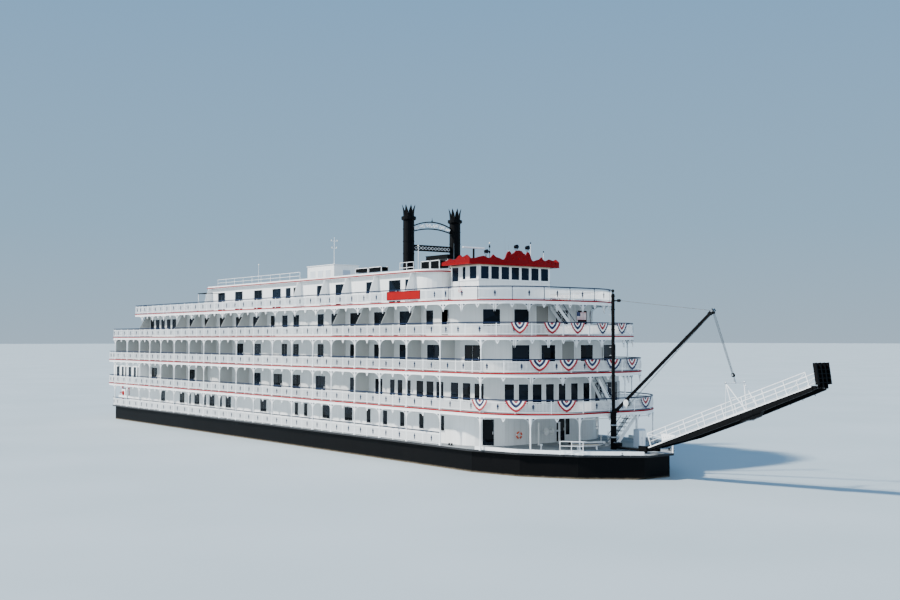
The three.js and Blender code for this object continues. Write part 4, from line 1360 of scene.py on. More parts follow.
    def add_bracket(self, form: Form, board: float, reach: float) -> None:
        """Adds a pierced arched bracket that starts at x = 0 and runs to +x under the board.

        Args:
            form: takes white as finish 0 and navy as finish 1.
            board: height of the edge board's foot.
            reach: its length along the board.
        """
        steps = 8
        outer = [(4.0, board + 0.2), (4.0, board - self.drop)]
        for i in range(steps + 1):
            angle = i / steps * math.pi / 2
            outer.append((5 + (reach - 5) * (1 - math.cos(angle)), board - self.drop * (1 - math.sin(angle))))
        outer.append((reach, board + 0.2))
        opening = []
        for i in range(1, steps):
            angle = (0.12 + 0.7 * i / steps) * math.pi / 2
            z = board - self.drop * (1 - math.sin(angle)) + self.rim
            if z < board - 5:
                opening.append((11 + (reach - 5) * (1 - math.cos(angle)) - self.rim * 0.55, z))
        opening += [(opening[-1][0], board - 5), (10.0, board - 5)]
        form.prism(outer, Plane.SIDE, -self.thick, self.thick, 0, [opening])
        self.add_diamond(form, [(13.0, board - 4), (20.0, board - 2.0), (33.0, board - 4),
                                (20.0, board - 12)])

    def add_diamond(self, form: Form, outline: Sequence[Point2]) -> None:
        """Adds a navy diamond that stands out on both faces of a bracket or drop, as finish 1."""
        form.prism(outline, Plane.SIDE, -self.thick - self.relief, self.thick + self.relief, 1)

    def add_pendant(self, form: Form, board: float) -> None:
        """Adds the flat pointed drop at mid-bay.

        Args:
            form: takes white as finish 0 and navy as finish 1.
            board: height of the edge board's foot.
        """
        half, drop = self.pendant
        right = [(half, board + 0.2), *((half * x, board - drop * z) for x, z in (
            (1, 0.2), (0.55, 0.3), (0.75, 0.5), (0.4, 0.62), (0.32, 0.8)))]
        outline = [*right, (0, board - drop), *((-x, z) for x, z in reversed(right))]
        form.prism(outline, Plane.SIDE, -self.thick, self.thick, 0)
        self.add_diamond(form, [(-4, board - 8), (0, board - 14), (4, board - 8), (0, board - 3)])

    def build_front_arcade(self, level: int, floor: float, over: Deck) -> None:
        """Makes the front columns, their brackets and drops, and the curved edge board.

        Args:
            level: the gallery's number.
            floor: height of the deck that the columns stand on.
            over: the deck overhead.
        """
        form = Form(WHITE, NAVY)
        edge, front, head = over.edge, FRONTS[level], over.top - self.clear
        board = head - self.board
        limit, count = edge.at_length(FRONT_SPLIT), 60
        stops = [-limit + 2 * limit * i / count for i in range(count + 1)]
        self.railing.add_bar(form, edge, stops, self.inset, (board, head), 5.0, 0)
        self.railing.add_bar(form, edge, stops, self.inset - 1.2, (board, board + 4), 5.0, 0)
        for stop in front.columns:
            x, y, _ = edge.spot(stop, self.inset)
            self.add_column(form, x, y, floor, board)
        self.add_front_brackets(form, edge, front, board)
        form.place(f"front_gallery_{level}_joinery", "boat", "white_paint", [f"front_columns_{level}"])

    def add_front_brackets(self, form: Form, edge: DeckEdge, front: Front, board: float) -> None:
        """Adds brackets and drops along the front, under a board.

        Args:
            form: takes white as finish 0 and navy as finish 1.
            edge: outline of the deck overhead.
            front: what hangs along it.
            board: height of the edge board's foot.
        """
        for stop in (*front.columns, *front.brackets):
            for way in (-1, 1):
                with form.at(edge.matrix(stop, self.inset) @ Matrix.Diagonal((way, 1, 1, 1))):
                    self.add_bracket(form, board, self.front_reach)
        for stop in front.drops:
            with form.at(edge.matrix(stop, self.inset)):
                self.add_pendant(form, board)

    def build_front_rail(self, deck: Deck) -> None:
        """Makes the rounded front railing, whose posts are navy on the top deck.

        Args:
            deck: the deck that it stands on.
        """
        form = Form(WHITE, NAVY)
        limit = deck.edge.at_length(COLUMN_X[-2])
        runs = [*FRONT_POSTS, limit]
        if limit - FRONT_POSTS[-1] > 300:
            runs.insert(-1, (limit + FRONT_POSTS[-1]) / 2)
        stops = [*(-run for run in reversed(runs[1:])), *runs]
        finish = 1 if deck is DECKS[-1] else 0
        self.railing.add_run(form, deck.edge, stops, stops[1:-1], deck.top, self.inset, finish)
        node = f"front_rail_{deck.level}"
        form.place(f"{node}_joinery", "boat", "white_paint", [node])

    def build_stern(self, deck: Deck) -> None:
        """Makes the railing across the stern.

        Args:
            deck: the deck that it stands on.
        """
        form = Form(WHITE, NAVY)
        half, count = deck.edge.half - self.inset, 9
        stops = [-half + 2 * half * i / count for i in range(count + 1)]
        across = DeckEdge(-9000.0, 0.0, 5000.0, 100.0)
        with form.at(pose(deck.edge.stern + self.aft, 0, 0, math.pi)):
            self.railing.add_run(form, across, stops, stops[1:-1], deck.top, 0.0)
        node = f"stern_rail_{deck.level}"
        form.place(f"{node}_joinery", "boat", "white_paint", [node])

    def build_eaves(self, deck: Deck) -> None:
        """Makes the brackets without columns that hang under the top deck's edge board.

        Args:
            deck: the top deck.
        """
        form = Form(WHITE, NAVY)
        board = deck.top - DECK_PLATE - self.board
        places = [x for x in COLUMN_X if deck.edge.stern + self.reach < x < FRONT_SPLIT]
        for side in Side:
            self.hang(form, places, side * (deck.edge.half - 9.0), board, 4.0, math.inf)
        self.add_front_brackets(form, deck.edge, FRONTS[4], board)
        form.place("eave_brackets", "boat", "white_paint")


class Pane(Enum):
    """Kinds of window and door in the cabin walls: glass width, foot and head over the deck, leaves."""

    SLIDING_DOOR = (176.0, 6.0, 204.0, 2)
    CABIN_DOOR = (88.0, 6.0, 204.0, 1)
    TALL_WINDOW = (98.0, 56.0, 204.0, 1)
    NARROW_WINDOW = (72.0, 56.0, 204.0, 1)
    LOUNGE_WINDOW = (114.0, 56.0, 204.0, 2)
    LOW_WINDOW = (66.0, 95.0, 215.0, 1)
    WIDE_LOW_WINDOW = (132.0, 95.0, 215.0, 2)
    PICTURE_WINDOW = (132.0, 72.0, 204.0, 1)
    SLIM_WINDOW = (44.0, 56.0, 212.0, 1)
    PASSAGE = (128.0, 1.0, 232.0, 0)


@dataclass(frozen=True)
class House:
    """One deckhouse and the openings in its walls.

    Attributes:
        name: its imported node.
        floor: height of the deck that it stands on.
        edge: plan outline of its walls.
        sides: kind and middle X of each opening in both side walls.
        fronts: kind of each opening and its distance along the rounded front from the middle, port positive.
        screens: X of the screens between private balconies.
        over: height of the deck over the screens.
        sloped: whether the screens' outer edge slopes.
    """

    name: str
    floor: float
    edge: DeckEdge
    sides: tuple[tuple[Pane, tuple[float, ...]], ...]
    fronts: tuple[tuple[Pane, tuple[float, ...]], ...]
    screens: tuple[float, ...] = ()
    over: float = 0.0
    sloped: bool = False


def cabins(first: int, last: int) -> tuple[float, ...]:
    """Middle X of the cabin doors in a run of bays.

    Args:
        first: number of the first bay, counted from aft.
        last: number of the last bay.

    Returns:
        One place for each bay.
    """
    offset = 176.0
    return tuple(COLUMN_X[bay] + offset for bay in range(first, last + 1))


HOUSES = (
    House("main_house", MAIN_DECK, DeckEdge(-4060, 2900, 690, 300), (
        (Pane.WIDE_LOW_WINDOW, (-3033, -2498, -2108, -1728, -1340, -566, 635, 1014)),
        (Pane.LOW_WINDOW, (-2295, -1906, -1520, 93, 268, 1338, 1591, 1843, 2113, 2387)),
    ), (
        (Pane.CABIN_DOOR, (-600, 98, 600)), (Pane.SLIM_WINDOW, (174,)),
    )),
    House("house_2", 660.0, DeckEdge(-3500, 3230, 690, 450), (
        (Pane.SLIDING_DOOR, (-3288, -2917, -2590, -2248, -1468, -1090, -710, -274, 80, 532, 1125)),
        (Pane.LOUNGE_WINDOW, (1496,)), (Pane.NARROW_WINDOW, (1699, 1811, 1930)),
        (Pane.TALL_WINDOW, (2092, 2230, 2362)),
    ), (
        (Pane.NARROW_WINDOW, (-625, -520, -417, -311, -192, -64, 66, 192, 311, 417, 520, 625)),
        (Pane.TALL_WINDOW, (-1175, -1024, -878, 878, 1024, 1175)),
    ), (-2778, -2406, -1850, -1266, -886, 1332), 952.0),
    House("house_3", 952.0, DeckEdge(-4100, 3180, 690, 450), (
        (Pane.SLIDING_DOOR, (*cabins(0, 9), *cabins(13, 17))),
        (Pane.LOUNGE_WINDOW, (-146, 78, 533)),
    ), (
        (Pane.PASSAGE, (-81,)), (Pane.PICTURE_WINDOW, (-507, -283, 117, 364)),
        (Pane.SLIDING_DOOR, (-906, 700, 906)),
    ), (*COLUMN_X[0:9], *COLUMN_X[14:19]), 1227.0),
    House("house_4", 1227.0, DeckEdge(-3440, 2920, 690, 450), (
        (Pane.LOUNGE_WINDOW, (-3361, -3200, -3047, -2883, -2732)),
        (Pane.SLIDING_DOOR, (*cabins(5, 9), *cabins(13, 16))),
        (Pane.LOUNGE_WINDOW, (-139, 82, 533)), (Pane.TALL_WINDOW, (2225,)), (Pane.CABIN_DOOR, (-380, 2425)),
    ), (
        (Pane.PASSAGE, (-110,)), (Pane.PICTURE_WINDOW, (-560, -320, 97, 330, 560)),
        (Pane.TALL_WINDOW, (-984, 984)),
    ), (-3440, *COLUMN_X[5:11], *COLUMN_X[14:18]), 1502.0, True),
    House("texas_house", 1502.0, DeckEdge(-2030, 2060, 560, 160), (
        (Pane.SLIDING_DOOR, (-1782, -1372, -938, -544, 667, 1542)),
        (Pane.TALL_WINDOW, (-308, 292, 1145)),
        (Pane.CABIN_DOOR, (-160, 1742)),
    ), (), (-2025, -50, 440, 820, 1284, 1835), 1766.0, True),
)
TEXAS_HOUSE = HOUSES[-1]
SHADED_HOUSES = HOUSES[1:4]
LOUNGE_EDGE = DeckEdge(-4330, -3500, 790, 1)
LOUNGE_PANES = ((-4177, 96), (-4025, 68), (-3927, 48), (-3796, 93), (-3639, 75), (-3544, 35))


@dataclass
class CabinWalls:
    """Windows, doors and balcony screens on the deckhouses.

    Attributes:
        proud: how far a frame stands out from the wall.
        rim: breadth of a frame.
        screen: half thickness of a balcony screen.
        outer: distance of a screen's outer edge from the middle line.
        texas_reach: how far a screen stands out from the top deckhouse.
        aft: Y of each opening in a deckhouse's aft wall, with its kind.
        lounge_aft: Y of each window in the lounge's aft wall.
        lounge_wide: their width.
    """

    proud: float = 4.0
    rim: float = 2.6
    screen: float = 2.5
    outer: float = 822.0
    texas_reach: float = 92.0
    aft: tuple[tuple[float, Pane], ...] = (
        (-400.0, Pane.LOUNGE_WINDOW), (-80.0, Pane.CABIN_DOOR), (240.0, Pane.LOUNGE_WINDOW))
    lounge_aft: tuple[float, ...] = (-560.0, -240.0, 80.0, 400.0)
    lounge_wide: float = 150.0

    def build(self) -> None:
        """Makes the openings and the screens of every deckhouse."""
        for house in HOUSES:
            form = Form(WHITE, GLASS, SHADED)
            openings = [(side * house.edge.at_length(x), kind)
                        for kind, places in house.sides for x in places for side in Side]
            openings += [(along, kind) for kind, places in house.fronts for along in places]
            for along, kind in openings:
                with form.at(house.edge.matrix(along, 0.0, house.floor)):
                    self.add_frame(form, *kind.value)
            if house is HOUSES[1]:
                self.add_lounge(form, house.floor)
            else:
                for y, kind in self.aft:
                    with form.at(house.edge.aft_wall(y, house.floor)):
                        self.add_frame(form, *kind.value)
            form.place(f"{house.name}_windows", "boat", "white_paint")
            # Painted shade: the deckhouses under the galleries take the darker grey wall paint.
            dress(SHADED_GALLERY_WALLS if house in SHADED_HOUSES else WALLS, house.name)
            if house.screens:
                self.build_screens(house)
        dress(WALLS, "roof_house", "lounge")

    def add_frame(self, form: Form, width: float, foot: float, head: float, leaves: int) -> None:
        """Adds glass, with its frame outside it and its bars, with x along the wall and -y pointing out.

        A window gets a sill, a door a handle, and a passage without leaves has no glass and shows a grey
        panel of painted shade.

        Args:
            form: takes the frame as finish 0, the glass as finish 1 and a passage's shade as finish 2.
            width: breadth of the glass.
            foot: height of its lower edge.
            head: height of its upper edge.
            leaves: number of leaves, or nought for a passage.
        """
        half, rim, out = width / 2, self.rim, -self.proud
        glass = ((-half, half), (foot, head))
        form.prism(rectangle(*glass, rim), Plane.SIDE, out, 0.5, 0, [rectangle(*glass)])
        form.box((-half - 0.5, -1.6, foot - 0.5), (half + 0.5, 0.6, head + 0.5), 1 if leaves else 2)
        for leaf in range(1, leaves):
            x = -half + width * leaf / leaves
            form.box((x - 1.2, out + 2.4, foot), (x + 1.2, 0, head), 0)
        if foot > 20:
            form.box((-half - rim - 2, out - 2.5, foot - rim - 2), (half + rim + 2, 0, foot - rim + 1), 0)
        elif leaves:
            form.box((half * 0.78, out - 2.0, 90), (half * 0.78 + 3, out + 1, 112), 0)

    def add_lounge(self, form: Form, floor: float) -> None:
        """Adds the windows in both sides of the wide lounge aft, and in its back wall.

        Args:
            form: takes the frame as finish 0 and the glass as finish 1.
            floor: height of the deck that it stands on.
        """
        _, foot, head, leaves = Pane.LOUNGE_WINDOW.value
        for x, width in LOUNGE_PANES:
            for side in Side:
                with form.at(LOUNGE_EDGE.matrix(side * LOUNGE_EDGE.at_length(x), 0.0, floor)):
                    self.add_frame(form, width, foot, head, 1)
        for y in self.lounge_aft:
            with form.at(LOUNGE_EDGE.aft_wall(y, floor)):
                self.add_frame(form, self.lounge_wide, foot, head, leaves)

    def build_screens(self, house: House) -> None:
        """Makes the screens between the private balconies.

        Args:
            house: the deckhouse that they stand out from.
        """
        top_house = house is TEXAS_HOUSE
        # Painted shade: the screens under the galleries take a darker grey paint; the top deckhouse's screens
        # stay white.
        form = Form(WHITE if top_house else SHADED_SCREENS)
        wall = house.edge.half + 0.4
        outer = wall + self.texas_reach if top_house else self.outer
        foot, top = house.floor + 4, house.over - 13.0
        outline = rectangle((wall, outer), (foot, top - 20))
        if house.sloped:
            outline = [(wall, foot), (outer, foot), (outer, house.floor + 100), (wall + 42, top), (wall, top)]
        for x in house.screens:
            for side in Side:
                form.prism([(side * y, z) for y, z in outline], Plane.END, x - self.screen,
                           x + self.screen, 0)
        form.place(f"{house.name}_balcony_screens", "boat", "white_paint")


@dataclass
class Pilothouse:
    """Glass, doors, mouldings, carved cornice and roof gear of the pilothouse.

    Attributes:
        aft: X of the back wall.
        front: X of the front wall.
        half: half breadth of the walls.
        sill: height of the windows' foot.
        head: height of their top.
        panel: foot and head of the raised panels under the windows.
        pitch: spacing of the front windows.
        window: width of a front window.
        sides: X of the ends of each side window.
        door: X of the ends of the doorway.
        latch: height of a door's handle.
        roof: height of the roof's top.
        cornice: half breadth of the cornice, and X of its front at the sides.
        bow: how far the cornice's front bows forward.
        scanner: the radar's place.
    """

    aft: float = 2105.0
    front: float = 2470.0
    half: float = 385.0
    sill: float = 1687.0
    head: float = 1789.0
    panel: Point2 = (1606.0, 1670.0)
    pitch: float = 107.7
    window: float = 82.0
    sides: tuple[Point2, ...] = ((2262.0, 2299.0), (2355.0, 2442.0))
    door: Point2 = (2120.0, 2212.0)
    latch: float = 1606.0
    roof: float = 1816.0
    cornice: Point2 = (485.0, 2478.0)
    bow: float = 40.0
    scanner: Point3 = (2200.0, -222.0, 1959.0)

    # Each scroll: its place across or along, its height, its radius and its outer end's angle.
    FRONT_SCROLLS = (
        (24, 1892, 20, 0), (66, 1862, 15, 140), (103, 1888, 16, 30), (118, 1850, 12, 200),
        (170, 1832, 11, 90), (215, 1838, 13, 60), (254, 1856, 15, 20), (296, 1836, 11, 120),
        (345, 1844, 14, 60), (392, 1840, 12, 100),
        (440, 1834, 10, 40))
    SIDE_SCROLLS = ((2160, 1822, 8), (2218, 1832, 11), (2280, 1826, 9), (2348, 1850, 14), (2420, 1848, 14))

    def build(self) -> None:
        """Makes the walls' trim, the doors' fittings, the cornice, the scanner and the roof gear."""
        dress(WALLS, "pilothouse", "starboard_door", "port_door")
        dress(DEEP_RED, "pilothouse_roof")
        self.build_walls()
        for side in Side:
            self.build_door(side)
        self.build_cornice()
        self.build_scanner()
        self.build_gear()

    def build_walls(self) -> None:
        """Makes the window glass and frames, the sill and the panels under it."""
        form = Form(WHITE, BRIDGE_GLASS, TAN)
        for i in range(-3, 4):
            with form.at(pose(self.front, i * self.pitch, 0, math.pi / 2)):
                self.add_window(form, self.window)
                self.add_moulding(form, (-44, 44), self.panel, -2.2, 0.4)
        sill = (self.sill - 12, self.sill - 6)
        lintel = (self.head + 3, self.head + 12.5)
        start, end = self.door
        for side in Side:
            for low, high in self.sides:
                half = (high - low) / 2
                turn = 0.0 if side is Side.STARBOARD else math.pi
                with form.at(pose((low + high) / 2, side * self.half, 0, turn)):
                    self.add_window(form, high - low)
                    self.add_moulding(form, (-half, half), self.panel, -2.2, 0.4)
            y = (self.half, self.half + 6)
            form.side_box(side, (end + 4, self.front + 6), y, sill, 0)
            form.side_box(side, (self.aft, self.front), y, lintel, 2)
            for x in ((start - 4, start - 0.6), (end + 0.6, end + 4)):
                form.side_box(side, x, y, (1504, self.head + 2), 0)
        half = self.half + 6
        form.box((self.front, -half, sill[0]), (self.front + 6, half, sill[1]), 0)
        form.box((self.front, -self.half, lintel[0]), (self.front + 5, self.half, lintel[1]), 2)
        form.place("pilothouse_joinery", "boat", "white_paint")

    def add_window(self, form: Form, width: float) -> None:
        """Adds one window in an opening, with x along the wall and -y pointing out.

        Args:
            form: takes the frame as finish 0 and the glass as finish 1.
            width: breadth of the opening.
        """
        half = width / 2
        opening = rectangle((-half, half), (self.sill, self.head))
        rim = rectangle((-half - 4, half + 4), (self.sill - 4, self.head + 3))
        form.prism(rim, Plane.SIDE, -1.6, 0.4, 0, [opening])
        form.box((-half - 0.6, -0.8, self.sill - 0.6), (half + 0.6, 2.0, self.head + 0.6), 1)

    def add_moulding(self, form: Form, x: Point2, z: Point2, start: float, end: float) -> None:
        """Adds a raised panel frame on a wall, from the Y of one face to the Y of the other."""
        form.prism(rectangle(x, z), Plane.SIDE, start, end, 0, [rectangle(x, z, -4)])

    def build_door(self, side: Side) -> None:
        """Makes a door's glass, panel and handle, which swing with it.

        Args:
            side: side of the boat.
        """
        form = Form(WHITE, BRIDGE_GLASS, BRONZE)
        start, end = self.door
        face, z, x = side * self.half, self.latch, start + 7
        form.side_box(side, (start + 13.6, end - 13.6), (self.half - 6, self.half - 3),
                      (self.sill - 0.4, self.head - 13.6), 1)
        form.side_box(side, (start + 4, end - 9), (self.half - 0.4, self.half + 1),
                      (self.sill - 13, self.head - 3), 1)
        self.add_moulding(form, (start + 14, end - 14), (1530, 1670), face - side * 0.4, face + side * 1.8)
        form.tube([(x, face, z), (x, face + side * 6, z), (x + 9, face + side * 6, z)], 1.4, 2)
        form.turned([(3.5, -0.4), (3.5, 1.2), (2.4, 2.0)], (x, face, z), 2, 10, "Y")
        name = f"{side.label}_door"
        form.place(f"{name}_fittings", name, "white_paint")

    def face(self, y: float) -> float:
        """X of the cornice's front at a half breadth."""
        return self.cornice[1] + self.bow * (1 - (y / self.cornice[0]) ** 2)

    def build_cornice(self) -> None:
        """Makes the carved scrolls and mouldings on the red cornice."""
        form = Form(RED)
        half, front = self.cornice
        count = 24
        for low, high, out in ((1802.4, 1808.0, 4.0), (1812.0, 1815.0, 2.0)):
            sections = []
            for i in range(count + 1):
                y = (half - 1) * (2 * i / count - 1)
                x = self.face(y)
                sections.append([(x - 2, y, low), (x + out, y, low), (x + out * 0.6, y, high),
                                 (x - 2, y, high)])
            form.skin(sections, 0)
            for side in Side:
                form.side_box(side, (2112, front), (half - 1, half + out), (low, high), 0)
        for side in Side:
            for y, z, radius, start in self.FRONT_SCROLLS:
                points = spiral((side * y, z), radius, 1.2, start, side)
                form.tube([(self.face(a) + 0.4, a, b) for a, b in points], 2.0, 0, 5)
            for x, z, radius in self.SIDE_SCROLLS:
                points = spiral((x, z), radius, 1.2, 60)
                form.tube([(a, side * (half + 0.4), b) for a, b in points], 2.0, 0, 5)
        rosette = [(0.5, 0), (9, 0), (9, 2), (5, 5), (0.5, 6)]
        form.turned(rosette, (self.face(0) - 0.4, 0, 1858), 0, 14, "X")
        form.place("cornice_carving", "boat", "red_paint")

    def build_scanner(self) -> None:
        """Makes the rounded radar bar, which turns on its post."""
        form = Form(WHITE, BLACK)
        section = [(-7, -5), (-5, -6.8), (5, -6.8), (7, -5), (6, 5), (4, 7), (-5, 7)]
        bar = ((-115, 0.5), (-112, 0.95), (-30, 1.0), (30, 1.0), (112, 0.95), (115, 0.5))
        with form.at(pose(*self.scanner)):
            form.skin([[(x * size, y, z * size) for x, z in section] for y, size in bar], 0)
            form.turned([(8, -10.6), (8, -9), (6.5, -8), (6.5, -6)], (0, 0, 0), 1, 14)
        form.place("radar_bar", "radar", "white_paint", ["radar_scanner"])

    def build_gear(self) -> None:
        """Makes the searchlights, lamps, horn and aerials on the roof."""
        form = Form(BLACK, WHITE, STEEL, OPAL, BRIDGE_GLASS)
        roof = self.roof
        for y, top, radius in ((-253.0, 1915.0, 15.0), (68.0, 1968.0, 17.0), (191.0, 1966.0, 17.0)):
            self.add_searchlight(form, y, top, radius)
        for y, top, mark, lens in ((-133.0, 2004.0, 0, 3), (319.0, 2026.0, 1, 0), (466.0, 1957.0, 1, 0)):
            form.turned([(6, -0.4), (6, 3), (2.4, 5), (1.8, top - roof - 14)], (2300, y, roof), mark, 8)
            form.turned([(3.5, -14), (5, -12), (5, -3), (2.5, 0)], (2300, y, top), lens, 10)
        for x, y, top in ((2300.0, 34.0, 2072.0), (2210.0, 150.0, 2030.0), (2150.0, -390.0, 1990.0)):
            form.turned([(4, -0.4), (4, 8), (1.2, 12), (0.6, top - roof)], (x, y, roof), 2, 6)
        form.turned([(2, 0), (3, 20), (7, 34), (8, 36)], (2436, -40, 1836), 2, 12, "X")
        form.box((2430, -44, roof - 0.3), (2442, -36, 1832), 2)
        form.turned([(16, -0.4), (16, 14), (22, 16), (22, 24), (4, 30)], (2190, 120, roof), 1, 14)
        post = [(16, -0.4), (16, 40), (9, 44), (8.6, 48), (8.6, self.scanner[2] - 11.4 - roof)]
        form.turned(post, (*self.scanner[:2], roof), 0, 14)
        for height in (1968.0, 1922.0):
            form.turned([(3, -12), (7, -9), (7, 7), (3, 10)], (2300, -133, height), 0, 10)
        form.place("pilothouse_roof_gear", "boat", "white_paint")

    def add_searchlight(self, form: Form, y: float, z: float, radius: float) -> None:
        """Adds a searchlight in its yoke on a post near the roof's front.

        Args:
            form: takes black as finish 0 and glass as finish 4.
            y: its place across.
            z: height of its middle.
            radius: radius of its drum.
        """
        x, arm, low = 2400.0, radius + 3, z - radius - 5
        form.turned([(11, -0.4), (11, 3), (4.5, 6), (3.6, z - radius - 10 - self.roof)],
                    (x, y, self.roof), 0, 12)
        form.tube([(x, y - arm, z), (x, y - arm, low), (x, y + arm, low), (x, y + arm, z)], 1.6, 0, 5)
        drum = [(radius * 0.4, -16), (radius * 0.9, -10), (radius, 0), (radius, 12), (radius + 1.5, 14),
                (radius + 1.5, 17)]
        form.turned(drum, (x, y, z), 0, 16, "X")
        form.turned([(radius - 1, 16.6), (radius - 3, 18.5), (2, 19.5)], (x, y, z), 4, 16, "X")


@dataclass
class Stacks:
    """Smokestacks: riveted bands and flange bolts, and the scrolled ironwork that ties the two together.

    Attributes:
        x: X of both stacks.
        y: half distance between their middles.
        radius: radius of the shaft.
        bands: heights of the riveted bands.
        flange: radius of the foot flange's bolt circle, and height of its top.
        rails: for each rail of the arch, its two heights at the stacks and its two in the middle.
        crest: height of the scrolls' middle line at the arch's middle, and how far it falls to the stacks.
        scrolls: share of the way out, radius and outer end's angle of each of the arch's scrolls.
        lattice: height of the lattice's middle on the tie band.
    """

    x: float = 1320.0
    y: float = 260.0
    radius: float = 51.0
    bands: tuple[float, ...] = (1850.0, 1960.0, 2070.0, 2180.0)
    flange: Point2 = (55.0, 1778.0)
    rails: tuple[tuple[Point2, Point2], ...] = (((2160, 2170), (2190, 2200)), ((2207, 2217), (2252, 2262)))
    crest: Point2 = (2226.0, 38.0)
    scrolls: tuple[Point3, ...] = (
        (0.1, 20, 200), (0.28, 18, 20), (0.46, 18, 200), (0.63, 17, 20), (0.8, 16, 200), (0.93, 12, 20))
    lattice: float = 2017.5

    def build(self) -> None:
        """Makes the bands and bolts, the arch and the tie band."""
        dress(BLACK, "starboard_stack", "port_stack", "stack_band")
        for side in Side:
            self.build_bands(side)
        self.build_arch()
        self.build_tie()

    def build_bands(self, side: Side) -> None:
        """Makes one stack's riveted bands and its foot flange's bolts.

        Args:
            side: side of the boat.
        """
        form = Form(BLACK, STEEL)
        inner, outer = self.radius - 0.5, self.radius + 1.6
        section = ((inner, -4), (outer, -4), (outer, 4), (inner, 4))
        with form.at(pose(self.x, side * self.y, 0)):
            for height in self.bands:
                angles = [math.tau * k / 24 for k in range(24)]
                form.skin([[(r * math.cos(a), r * math.sin(a), height + z) for r, z in section]
                           for a in angles],
                          0, closed=True)
                for k in range(16):
                    with form.at(pose(0, 0, height, math.tau * (k + 0.5) / 16)):
                        form.turned([(1.3, outer - 0.4), (1.0, outer + 0.8)], (0, 0, 0), 0, 5, "X")
            reach, top = self.flange
            for k in range(12):
                angle = math.tau * k / 12
                form.turned([(2.0, 0), (2.0, 3)], (reach * math.cos(angle), reach * math.sin(angle), top),
                            1, 6)
        form.place(f"{side.label}_stack_bands", "boat", "black_paint")

    def build_arch(self) -> None:
        """Makes the arch as two rails with white scrolls between them and a small spire."""
        form = Form(BLACK, WHITE)
        span, x = self.y - self.radius - 0.3, self.x
        for ends, middle in self.rails:
            sections = []
            for i in range(21):
                share = -1 + i / 10
                low, high = (m - share * share * (m - e) for e, m in zip(ends, middle))
                y = share * span
                sections.append([(x - 5, y, low), (x + 5, y, low), (x + 5, y, high), (x - 5, y, high)])
            form.skin(sections, 0)
        top, fall = self.crest
        for side in Side:
            for share, radius, start in self.scrolls:
                points = spiral((side * share * span, top - share * share * fall), radius, 1.1, start, side)
                form.tube([(x, a, b) for a, b in points], 3.4, 1, 6)
            form.side_box(side, (x - 4, x + 4), (span - 5, span), (2165, 2210), 0)
        form.turned([(7, -1), (7, 4), (3, 7), (5, 12), (2, 18), (0.8, 34)], (x, 0, 2262), 0, 10)
        form.place("stack_arch_ironwork", "boat", "black_paint", ["stack_arch"])

    def build_tie(self) -> None:
        """Makes the white lattice on both faces of the tie band, and its edge mouldings."""
        form = Form(BLACK, WHITE)
        span, level = self.y - self.radius - 1, self.lattice
        pitch, wide, tall = 36.0, 17.5, 14.0
        for face in (-1, 1):
            x = self.x + face * 5.2
            for z in (level - 24.5, level + 24.5):
                form.box((x, -span, z - 3), (x + face * 2, span, z + 3), 0)
            for k in range(-5, 6):
                y = k * pitch
                form.tube([(x, y - wide, level), (x, y, level + tall), (x, y + wide, level),
                           (x, y, level - tall), (x, y - wide, level)], 2.2, 1, 5)
        form.place("stack_band_scrolls", "boat", "black_paint")


